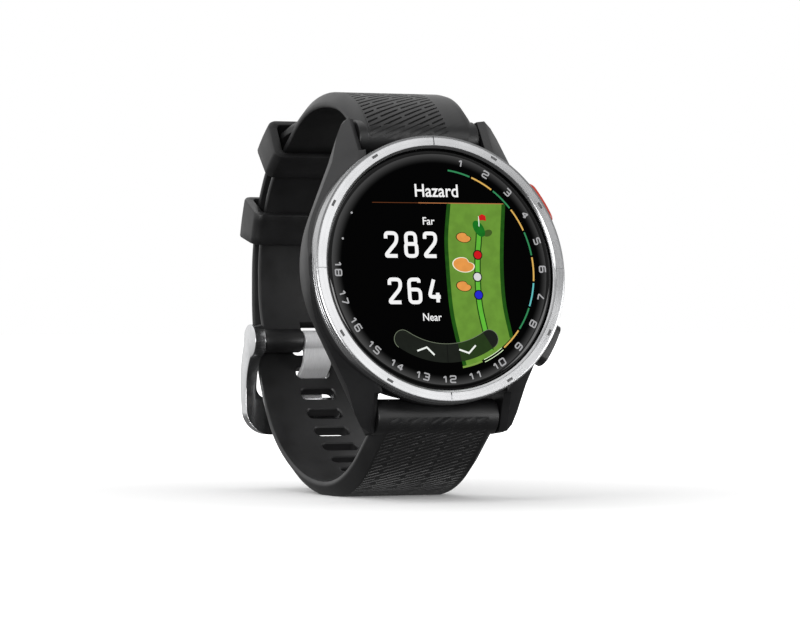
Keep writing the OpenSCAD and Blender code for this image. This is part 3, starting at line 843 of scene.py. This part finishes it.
def bezel_profile(mark):
    """The bezel's section. A mark is None, "line" on a quarter hour or "dash" on another hour."""
    lip = BEZEL_OPENING_R - BEZEL_WALL_R
    edge = 0.33
    groove = 0.08
    inner, outer = HOUR_DASH_R
    depths = {r: 0 for r in (18.75, inner - 0.03, inner, outer, outer + 0.03, 19.6, 19.7)}
    if mark == "dash":
        depths[inner] = depths[outer] = HOUR_DASH_D
    if mark == "line":
        depths = {r: HOUR_LINE_D for r in depths}
    face = [(r, (BEZEL_OPENING_R - r) * BEZEL_SLOPE - depth) for r, depth in depths.items()]
    points = [(BEZEL_WALL_R, -BEZEL_H), (BEZEL_WALL_R, -lip), (BEZEL_OPENING_R - 0.05, -0.05),
              (BEZEL_OPENING_R + 0.05, 0), *face, (BEZEL_R - 0.15, -0.17),
              (BEZEL_R - 0.03, -0.23), (BEZEL_R, -edge)]
    for depth in (0.8, 1.4):
        points += [(BEZEL_R, -depth), (BEZEL_R - groove, -depth - 0.06),
                   (BEZEL_R - groove, -depth - 0.15), (BEZEL_R, -depth - 0.21)]
    return points + [(BEZEL_R, -BEZEL_H)]


def bezel_stations():
    """Angles round the bezel with the mark that each one passes through."""
    mark_half = {"line": HOUR_LINE_ANGLE, "dash": HOUR_DASH_ANGLE}
    wall = 0.06
    plain_stations = 72
    clear = 5
    stations = []
    for hour in range(12):
        mark = "line" if hour % 3 == 0 else "dash"
        half = mark_half[mark]
        middle = 30 * hour
        stations += [(middle - half - wall, None), (middle - half, mark), (middle + half, mark),
                     (middle + half + wall, None)]
        stations += [(middle + i * 30 / plain_stations, None)
                     for i in range(clear, plain_stations - clear + 1)]
    return stations


def make_bezel():
    rings = [turned_ring(bezel_profile(mark), angle) for angle, mark in bezel_stations()]
    bezel = swept("bezel_ring", rings, closed=True)
    shade(bezel, 25)
    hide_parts("bezel")
    finish_piece(bezel, "case", "bezel_metal")
    middle = sum(HOUR_DASH_R) / 2
    width = HOUR_DASH_R[1] - HOUR_DASH_R[0]
    face = (BEZEL_OPENING_R - middle) * BEZEL_SLOPE
    dashes = [clock_arc(middle, 30 * hour - HOUR_DASH_ANGLE, 30 * hour + HOUR_DASH_ANGLE, width,
                        (face - 0.2, face - 0.02)) for hour in range(12) if hour % 3]
    graphic("bezel_hour_dashes", dashes, moulded("dash_enamel", (0.09, 0.09, 0.092), 0.4),
            "print_black")


def make_glass():
    """The glass, with a rolled edge that catches the light."""
    roll = 1.1
    drop = 0.5
    steps = 256
    edge = [(GLASS_R - roll + roll * math.sin(math.radians(a)),
             GLASS_FRONT - drop + drop * math.cos(math.radians(a))) for a in range(0, 91, 9)]
    profile = [(0.01, GLASS_BACK), (0.01, GLASS_FRONT)] + edge + [(GLASS_R, GLASS_BACK)]
    rings = [turned_ring(profile, 360 * i / steps) for i in range(steps)]
    glass = swept("front_glass", rings, closed=True)
    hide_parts("lens")
    finish_piece(glass, "case", "lens_glass")


def make_buttons():
    red = softened("action_button_face", "action_button_cap", 0.14)
    finish_piece(red, "action_button", "button_red")
    black = softened("menu_button_face", "menu_button_cap", 0.08)
    finish_piece(black, "menu_button", "button_black")


def make_buckle():
    frame_piece = softened("buckle_polished_frame", "buckle_frame", 0.5, 4)
    finish_piece(frame_piece, "buckle", "buckle_steel")
    # The tongue wears the whiter, nearly matt steel, which is its painted highlight.
    tongue = softened("buckle_polished_tongue", "buckle_tongue", 0.2, 4)
    finish_piece(tongue, "tongue", "buckle_steel", TONGUE_STEEL_PAINTED_BRIGHT)


def make_springs():
    """Copies of the springs that a joint names, each on the case's body with a mesh of its own."""
    for joint in frame["record"]["behaviour"]["joints"]:
        for node in (soft["node"] for soft in joint.get("deforming_nodes", [])):
            spring = copied(node.replace("spring", "coil"), node)
            finish_piece(spring, "case", "steel")
            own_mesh(spring)


# ---------------- dial graphics

# Strokes of the figures in a cell one wide and one high
RING_FIGURES = {
    "0": [[(0, 0), (1, 0), (1, 1), (0, 1), (0, 0)]],
    "1": [[(0.2, 0.72), (0.62, 1), (0.62, 0)]],
    "2": [[(0, 0.8), (0, 1), (1, 1), (1, 0.52), (0, 0.48), (0, 0), (1, 0)]],
    "3": [[(0, 1), (1, 1), (1, 0), (0, 0)], [(0.3, 0.5), (1, 0.5)]],
    "4": [[(0.72, 0), (0.72, 1), (0, 0.28), (1, 0.28)]],
    "5": [[(1, 1), (0, 1), (0, 0.55), (1, 0.55), (1, 0), (0, 0)]],
    "6": [[(1, 1), (0, 1), (0, 0), (1, 0), (1, 0.55), (0, 0.55)]],
    "7": [[(0, 1), (1, 1), (0.4, 0)]],
    "8": [[(0, 0), (1, 0), (1, 1), (0, 1), (0, 0)], [(0, 0.5), (1, 0.5)]],
    "9": [[(0, 0), (1, 0), (1, 1), (0, 1), (0, 0.45), (1, 0.45)]],
}
SCREEN_FIGURES = {
    "2": [[(0, 0.76), (0, 1), (1, 1), (1, 0.62), (0, 0.08), (0, 0), (1, 0)]],
    "4": [[(0.8, 0), (0.8, 0.42)], [(0.5, 1), (0, 0.24), (1.06, 0.24)]],
    "6": [[(0.92, 0.86), (0.92, 1), (0, 1), (0, 0), (1, 0), (1, 0.56), (0, 0.56)]],
    "8": [[(0.5, 0.53), (0.06, 0.53), (0.06, 1), (0.94, 1), (0.94, 0.53), (0.5, 0.53)],
          [(0.5, 0.53), (0, 0.53), (0, 0), (1, 0), (1, 0.53), (0.5, 0.53)]],
}


def rounded_path(points, r):
    """A path with its corners rounded."""
    out = [Vector(points[0])]
    for before, here, next_one in zip(points, points[1:], points[2:]):
        a, b, c = Vector(before), Vector(here), Vector(next_one)
        if (a - b).length < 1e-6 or (c - b).length < 1e-6:
            continue
        reach = min(r, (a - b).length * 0.48, (c - b).length * 0.48)
        p, q = b + (a - b).normalized() * reach, b + (c - b).normalized() * reach
        for i in range(5):
            u = i / 4
            out.append(p * (1 - u) ** 2 + b * 2 * u * (1 - u) + q * u * u)
    out.append(Vector(points[-1]))
    return out


def ribbon(points, width, heights):
    """Rings of a flat bar of that width along a path on the dial."""
    low, high = heights
    rings = []
    for i, here in enumerate(points):
        back, forward = points[max(0, i - 1)], points[min(len(points) - 1, i + 1)]
        along = (forward - back).normalized()
        side = Vector((-along.y, along.x)) * width / 2
        rings.append([(*(here + side), low), (*(here - side), low),
                      (*(here - side), high), (*(here + side), high)])
    return rings


def plate(points, heights):
    """Rings of a flat plate with that outline."""
    return [[(x, y, z) for x, y in points] for z in heights]


def layer(number):
    """Low and high face of a printed or lit layer, just proud of the glass."""
    return GLASS_FRONT - LAYER_ROOT, GLASS_FRONT + LAYER_T * number


def on_clock(r, angle):
    """Point on the dial at a clock angle, which starts at 12."""
    a = math.radians(angle)
    return Vector((r * math.sin(a), r * math.cos(a)))


def graphic(name, shapes, material, slot="display"):
    """One piece from many flat shapes in dial coordinates."""
    parts = [swept("shape", [[on_case(p) for p in ring] for ring in rings]) for rings in shapes]
    piece = joined(name, parts)
    shade(piece, 20)
    finish_piece(piece, "case", slot, material)


def disc(x, y, r, heights, steps=28):
    return plate(arc((x, y), r, 0, 360, steps)[:-1], heights)


def figure(strokes, origin, size, width, corner, heights, turn=0):
    """One figure: its strokes scaled to size and turned about origin."""
    c, s = math.cos(turn), math.sin(turn)
    shapes = []
    for stroke in strokes:
        full_size = [((x - 0.5) * size[0], (y - 0.5) * size[1]) for x, y in stroke]
        placed = [Vector((origin[0] + c * p.x - s * p.y, origin[1] + s * p.x + c * p.y))
                  for p in rounded_path(full_size, corner)]
        shapes.append(ribbon(placed, width, heights))
    return shapes


def number_shapes():
    """The numbers 1 to 18, one every 15 degrees. From 7 on their tops face the middle."""
    size = (0.86, 0.94)
    digit_pitch = 1.27
    stroke_w = 0.21
    corner = 0.2
    shapes = []
    for number in range(1, 19):
        clock = 15 * number
        turn = math.radians(-clock if number < 7 else 180 - clock)
        digits = str(number)
        for i, digit in enumerate(digits):
            along = (i - (len(digits) - 1) / 2) * digit_pitch
            place = on_clock(NUMBER_R, clock) + Vector((math.cos(turn), math.sin(turn))) * along
            shapes += figure(RING_FIGURES[digit], place, size, stroke_w, corner, layer(1), turn)
    return shapes


def clock_arc(r, a0, a1, width, heights, steps=10):
    """A band round the dial between two clock angles."""
    points = [on_clock(r, a0 + (a1 - a0) * i / steps) for i in range(steps + 1)]
    return ribbon(points, width, heights)


def make_number_ring():
    """The numbers, and two dots on the left."""
    dots = [disc(*on_clock(16.05, angle), 0.17, layer(1)) for angle in (286, 301)]
    # Painted light: the white print has a black base and glows, instead of being lit by the lamps.
    white = lit("print_painted_glow", (0.5, 0.5, 0.51), strength=0.8)
    graphic("dial_numbers", number_shapes() + dots, white, "print_black")


def make_score_ring():
    """Short arcs round the screen, one for each hole played, then an open one and a dim one."""
    hole_angle = 15
    gap = 0.6
    order = ["green", "yellow", "green", "yellow", "green", "yellow", "cyan", "green", "yellow"]
    colours = {"green": (0.03, 0.24, 0.09), "yellow": (0.7, 0.42, 0.1), "cyan": (0.12, 0.5, 0.5)}
    for name, colour in colours.items():
        starts = [hole_angle * (i + 0.5) for i, one in enumerate(order) if one == name]
        shapes = [clock_arc(SCORE_R, a + gap, a + hole_angle - gap, 0.24, layer(4)) for a in starts]
        graphic("score_arcs_" + name, shapes, lit("score_" + name, colour))
    outline = [clock_arc(SCORE_R + d, 143.2, 156.8, 0.1, layer(4)) for d in (-0.19, 0.19)]
    graphic("score_arc_open", outline, lit("score_pale", (0.75, 0.95, 0.6)))
    graphic("score_arc_last", [clock_arc(SCORE_R - 0.1, 158.2, 171, 0.3, layer(4))],
            lit("score_dim", (0.2, 0.34, 0.06)))


def curve_through(points, steps=6):
    """Smooth path through a few points."""
    points = [Vector(p) for p in points]
    ends = [points[0] * 2 - points[1], *points, points[-1] * 2 - points[-2]]
    out = []
    for p0, p1, p2, p3 in zip(ends, ends[1:], ends[2:], ends[3:]):
        for i in range(steps):
            u = i / steps
            out.append(0.5 * (p1 * 2 + (p2 - p0) * u + (p0 * 2 - p1 * 5 + p2 * 4 - p3) * u * u
                              + (p3 - p0 + (p1 - p2) * 3) * u ** 3))
    out.append(points[-1])
    return out


FAIRWAY_TOP = 9.8
FAIRWAY_LEFT = [(1.95, FAIRWAY_TOP), (1.2, 5), (1.05, 1), (1.15, -5.5), (1.75, -10), (2.7, -14.4)]
FAIRWAY_RIGHT = [(10.75, FAIRWAY_TOP), (10.1, 4.5), (9.7, -0.5), (9.75, -5.5), (10.5, -10.3)]
SHOT_PATH = [(6.55, 6), (6.3, 4), (6, 2.1), (5.75, -1.2), (5.7, -3.9), (5.85, -6.2), (6.4, -9.4),
             (7, -12.2)]
BUNKERS = {"far": (3.9, 4.7, 0.86), "middle": (3.6, 0.6, 1.28), "near": (3.4, -2.6, 0.88)}


def bunker_outline(x, y, size):
    """A kidney: a wide oval with a bite out of its upper right."""
    points = []
    for i in range(36):
        a = math.radians(10 * i)
        bite = 0.34 * math.exp(-((i * 10 - 48) / 22) ** 2)
        r = size * (1 - bite)
        points.append((x + 1.28 * r * math.cos(a) + 0.1 * size * math.sin(a),
                       y + 0.8 * r * math.sin(a) - 0.16 * r * math.cos(a)))
    return points


def make_hole_map():
    """The hole on the right of the screen: fairway, green, bunkers, shot path and markers."""
    left = curve_through(FAIRWAY_LEFT)
    right = curve_through(FAIRWAY_RIGHT)
    bottom = [on_clock(14.7, angle) for angle in range(136, 169, 4)]
    graphic("map_fairway", [plate(left + bottom[::-1] + right[::-1], layer(1))],
            lit("fairway", (0.145, 0.31, 0.036), 0.16, 1.6))
    shift = Vector((0.05, 0))
    edges = [ribbon([p - shift for p in left], 0.6, layer(2)),
             ribbon([p + shift for p in right], 0.6, layer(2))]
    graphic("map_fairway_edges", edges, lit("rough", (0.012, 0.09, 0.004), 0.3))
    path = curve_through(SHOT_PATH)
    graphic("map_path_outline", [ribbon(path, 1.05, layer(2))],
            lit("path_outline", (0.01, 0.05, 0.002)))
    graphic("map_path", [ribbon(path, 0.68, layer(3))], lit("path", (0.12, 0.5, 0.04), 0.12))
    shadow = [(x + 1.35, y - 0.7) for x, y in oval(6.55, 6.1, 0.75, 0.5, 20)]
    graphic("map_shadow", [plate(shadow, layer(2))], lit("map_shadow", (0.05, 0.1, 0.015)))
    graphic("map_green", [plate(oval(6.5, 6.05, 1.35, 0.78, -58), layer(4))],
            lit("green", (0.006, 0.17, 0.012), 0.2, 0.8))
    flag = [(6.6, 7.95), (7.15, 8.25), (7.7, 8.0), (7.75, 7.25), (7.2, 7.35), (6.66, 7.3)]
    graphic("map_flag", [plate(flag, layer(6))], lit("flag", (0.62, 0.01, 0.01), 0.15))
    graphic("map_flag_pole", [ribbon([Vector((6.6, 7.95)), Vector((6.55, 6.4))], 0.16, layer(5))],
            lit("pole", (0.7, 0.85, 0.7)))
    make_bunkers()
    make_markers()


def oval(x, y, a, b, turn, steps=28):
    """Outline of an oval with half axes a and b, turned about its middle."""
    c, s = math.cos(math.radians(turn)), math.sin(math.radians(turn))
    return [(x + c * a * p - s * b * q, y + s * a * p + c * b * q)
            for p, q in arc((0, 0), 1, 0, 360, steps)[:-1]]


def make_bunkers():
    """Sand with a dark rim, but a white one on the bunker in the middle."""
    rims = [plate(bunker_outline(x, y, size * 1.12), layer(3))
            for name, (x, y, size) in BUNKERS.items() if name != "middle"]
    graphic("map_bunker_rims", rims, lit("bunker_rim", (0.012, 0.008, 0.002)))
    x, y, size = BUNKERS["middle"]
    graphic("map_bunker_white", [plate(bunker_outline(x, y, size * 1.1), layer(4))],
            lit("bunker_white", (0.9, 0.85, 0.7)))
    sand = [plate(bunker_outline(*bunker), layer(5)) for bunker in BUNKERS.values()]
    graphic("map_bunkers", sand, lit("sand", (0.8, 0.32, 0.07), 0.1, 0.7))


def make_markers():
    """Three discs along the shot path."""
    places = {"red": (6.0, 2.1), "white": (5.7, -1.2), "blue": (5.7, -3.9)}
    colours = {"red": (0.6, 0.005, 0.01), "white": (0.68, 0.68, 0.68), "blue": (0.015, 0.02, 0.6)}
    graphic("map_marker_rims", [disc(x, y, 0.76, layer(6)) for x, y in places.values()],
            lit("marker_rim", (0.004, 0.006, 0.004)))
    for name, (x, y) in places.items():
        graphic("map_marker_" + name, [disc(x, y, 0.6, layer(7))],
                lit("marker_" + name, colours[name]))


def words(name, text, x, y, height, material, stretch, bold=0.01):
    """Plain lettering made solid, with its lower left corner at x and y."""
    capital_h = 0.72
    curve = bpy.data.curves.new(name, "FONT")
    curve.body = text
    curve.size = 1
    curve.offset = bold
    curve.extrude = 0.008
    curve.resolution_u = 6
    lettering = new_object(name, curve)
    bpy.context.view_layer.update()
    mesh = bpy.data.meshes.new_from_object(lettering.evaluated_get(
        bpy.context.evaluated_depsgraph_get()))
    bpy.data.objects.remove(lettering)
    piece = new_object(name, mesh)
    scale = height / capital_h
    for vertex in mesh.vertices:
        vertex.co = on_case((x + vertex.co.x * scale * stretch, y + vertex.co.y * scale,
                             layer(2)[1] + vertex.co.z * 0.5))
    finish_piece(piece, "case", "display", material)


def make_readings():
    """The title, the two distances and what they are measured to."""
    white = lit("screen_white", (0.9, 0.9, 0.9))
    size = (1.72, 3.4)
    digit_pitch = 3.12
    stroke_w = 0.56
    shapes = []
    for text, x, y in (("282", -8.9, 1.6), ("264", -8.8, -5.3)):
        for i, digit in enumerate(text):
            place = (x + (stroke_w + size[0]) / 2 + i * digit_pitch, y + (stroke_w + size[1]) / 2)
            shapes += figure(SCREEN_FIGURES[digit], place, size, stroke_w, 0.62, layer(2))
    graphic("screen_distances", shapes, white)
    words("screen_title", "Hazard", -3.6, 10.8, 1.95, white, 0.92, 0.012)
    words("screen_far_label", "Far", -2.6, 6.6, 1.15, white, 0.95)
    words("screen_near_label", "Near", -3.6, -7.75, 1.15, white, 0.92)
    line_y = FAIRWAY_TOP + 0.05
    for name, x0, x1, width, light in (
            ("screen_line_dim", -10.4, -3, 0.09, lit("line_dim", (0.12, 0.035, 0.01))),
            ("screen_line", -3, 10.8, 0.12, lit("line", (0.45, 0.17, 0.06)))):
        graphic(name, [ribbon([Vector((x0, line_y)), Vector((x1, line_y))], width, layer(2))], light)


def make_scroll_keys():
    """The dark curved key at the foot of the screen with its two chevrons."""
    inner_r, outer_r, spread = 11.2, 14.0, 33.5
    mid_r, cap_r = (inner_r + outer_r) / 2, (outer_r - inner_r) / 2
    steps = 24

    def side_of_key(r, way):
        return [on_clock(r, 180 + way * spread * (2 * i / steps - 1)) for i in range(steps + 1)]

    def end_of_key(way):
        turn = -way * (90 + spread)
        return [on_clock(mid_r, 180 + way * spread) + Vector(p)
                for p in arc((0, 0), cap_r, turn, turn - 180, 12)[1:-1]]

    outline = side_of_key(outer_r, 1) + end_of_key(1) + side_of_key(inner_r, -1) + end_of_key(-1)
    graphic("scroll_key", [plate(outline, layer(5))], lit("scroll_key", (0.0095, 0.012, 0.0085), 0.2))
    graphic("scroll_key_rim", [ribbon(outline[steps:] + outline[:1], 0.08, layer(6))],
            lit("scroll_rim", (0.16, 0.19, 0.13)))
    graphic("scroll_key_divider",
            [ribbon([on_clock(inner_r, 180), on_clock(outer_r, 180)], 0.1, layer(6))],
            lit("divider", (0.002, 0.002, 0.002)))
    tint = ([on_clock(inner_r + 0.02, 148 + 2.3 * i) for i in range(11)]
            + [on_clock(outer_r - 0.02, 171 - 2.3 * i) for i in range(11)])
    graphic("scroll_key_tint", [plate(tint, layer(5.5))],
            lit("scroll_tint", (0.017, 0.04, 0.008), 0.15))
    graphic("scroll_chevrons", chevron(mid_r, -1) + chevron(mid_r, 1),
            lit("chevron", (0.86, 0.9, 0.85)))


def chevron(r, side):
    """Two strokes that meet in a point: up on the right of the key, down on its left."""
    middle = on_clock(r, 180 - side * 15.5)
    tilt = math.radians(side * 13)
    wing = [(-1.3, 0.35 * side), (0, -0.45 * side), (1.3, 0.35 * side)]
    points = [middle + Vector((x * math.cos(tilt) - y * math.sin(tilt),
                               x * math.sin(tilt) + y * math.cos(tilt))) for x, y in wing]
    strokes = []
    for a, b in zip(points, points[1:]):
        over = (b - a).normalized() * 0.1
        strokes.append(ribbon([a - over, b + over], 0.26, layer(7)))
    return strokes


# ---------------- studio

def make_floor():
    """A plain pale floor. Away from the watch it glows, so that it melts into the backdrop. Near the
    watch it glows less, which paints soft shade round the watch on top of its real shadow.
    """
    half = 4.0
    points = [(-half, -half, 0), (half, -half, 0), (half, half, 0), (-half, half, 0)]
    floor = new_piece("studio_floor", points, [(0, 1, 2, 3)])
    material, tree, bsdf = shader("studio_floor")
    bsdf.inputs["Base Color"].default_value = (0.9, 0.9, 0.9, 1)
    bsdf.inputs["Roughness"].default_value = 0.9
    bsdf.inputs["Specular IOR Level"].default_value = 0
    bsdf.inputs["Emission Color"].default_value = (1, 1, 1, 1)
    place = tree.nodes.new("ShaderNodeTexCoord").outputs["Object"]
    reach = vector_math(tree, "LENGTH", place)["Value"]
    # Painted shade: near the watch the glow falls to a tenth, so the floor round it is darker than the
    # lamps alone make it.
    glow_and_painted_shade = ramp(tree, reach, 0.03, 0.2, 0.1, 1)
    tree.links.new(glow_and_painted_shade, bsdf.inputs["Emission Strength"])
    floor.data.materials.append(material)
    floor.visible_glossy = False
    floor.visible_diffuse = False


def make_world():
    """A white backdrop for the camera. For light and reflections it is bright behind the watch
    and to its left, and dimmer in front and below."""
    world = bpy.data.worlds.new("studio")
    bpy.context.scene.world = world
    world.use_nodes = True
    tree = world.node_tree
    back = tree.nodes["Background"]
    place = tree.nodes.new("ShaderNodeTexCoord").outputs["Generated"]
    split = tree.nodes.new("ShaderNodeSeparateXYZ")
    tree.links.new(place, split.inputs["Vector"])
    side = vector_math(tree, "DOT_PRODUCT", place, (-0.5, 0.85, 0))["Value"]
    around = ramp(tree, side, -0.4, 0.6, 0.4, 0.95)
    height = ramp(tree, split.outputs["Z"], -0.2, 0.02, 0.2, 1)
    light = tree.nodes.new("ShaderNodeMath")
    light.operation = "MULTIPLY"
    tree.links.new(around, light.inputs[0])
    tree.links.new(height, light.inputs[1])
    ray = tree.nodes.new("ShaderNodeLightPath")
    pick = tree.nodes.new("ShaderNodeMix")
    pick.data_type = "FLOAT"
    tree.links.new(ray.outputs["Is Camera Ray"], pick.inputs["Factor"])
    tree.links.new(light.outputs["Value"], pick.inputs["A"])
    pick.inputs["B"].default_value = 1.0
    tree.links.new(pick.outputs["Result"], back.inputs["Strength"])
    back.inputs["Color"].default_value = (1, 1, 1, 1)


def make_lights():
    """Soft boxes that face the watch: name, place, width, height and watts."""
    middle = Vector((0, -0.005, 0.03))
    for name, place, width, height, power in (
            ("left_softbox", (-0.45, -0.1, 0.25), 0.35, 0.5, 0.5),
            ("top_softbox", (-0.05, 0.12, 0.55), 0.6, 0.6, 0.95),
            ("front_softbox", (0.16, -0.6, 0.22), 0.4, 0.4, 0.8),
            ("low_left_fill", (-0.32, -0.48, 0.05), 0.3, 0.2, 1.5),
            ("low_right_fill", (0.42, -0.3, 0.04), 0.3, 0.16, 0.6)):
        data = bpy.data.lights.new(name, "AREA")
        data.shape = "RECTANGLE"
        data.size = width
        data.size_y = height
        data.energy = power
        light = new_object(name, data)
        light.location = place
        light.rotation_mode = "QUATERNION"
        light.rotation_quaternion = (middle - Vector(place)).to_track_quat("-Z", "Y")


def make_camera():
    """Level, turned to the watch's left, with the dial right of the middle of the picture."""
    azimuth = math.radians(-23.5)
    distance = 560
    aim = (6.29, 6.66)
    focal_length = 171.4
    back = Vector((math.sin(azimuth), -math.cos(azimuth), 0))
    right = Vector((math.cos(azimuth), math.sin(azimuth), 0))
    data = bpy.data.cameras.new("camera")
    data.lens = focal_length
    data.sensor_width = 36
    data.clip_start = 0.01
    data.clip_end = 20
    camera = new_object("camera", data)
    offset = back * distance - right * aim[0] - Vector((0, 0, 1)) * aim[1]
    camera.location = DIAL_CENTRE + offset * MM
    camera.rotation_mode = "QUATERNION"
    camera.rotation_quaternion = (-back).to_track_quat("-Z", "Y")
    bpy.context.scene.camera = camera


# ---------------- build

finish_cad_nodes()
make_case()
make_bezel()
make_glass()
make_buttons()
make_springs()
make_lower_strap()
make_upper_strap()
for side in KEEPERS_AT:
    make_keeper(side)
make_buckle()
make_number_ring()
make_score_ring()
make_hole_map()
make_readings()
make_scroll_keys()
make_floor()
make_world()
make_lights()
make_camera()
bpy.context.scene.view_settings.view_transform = "Standard"
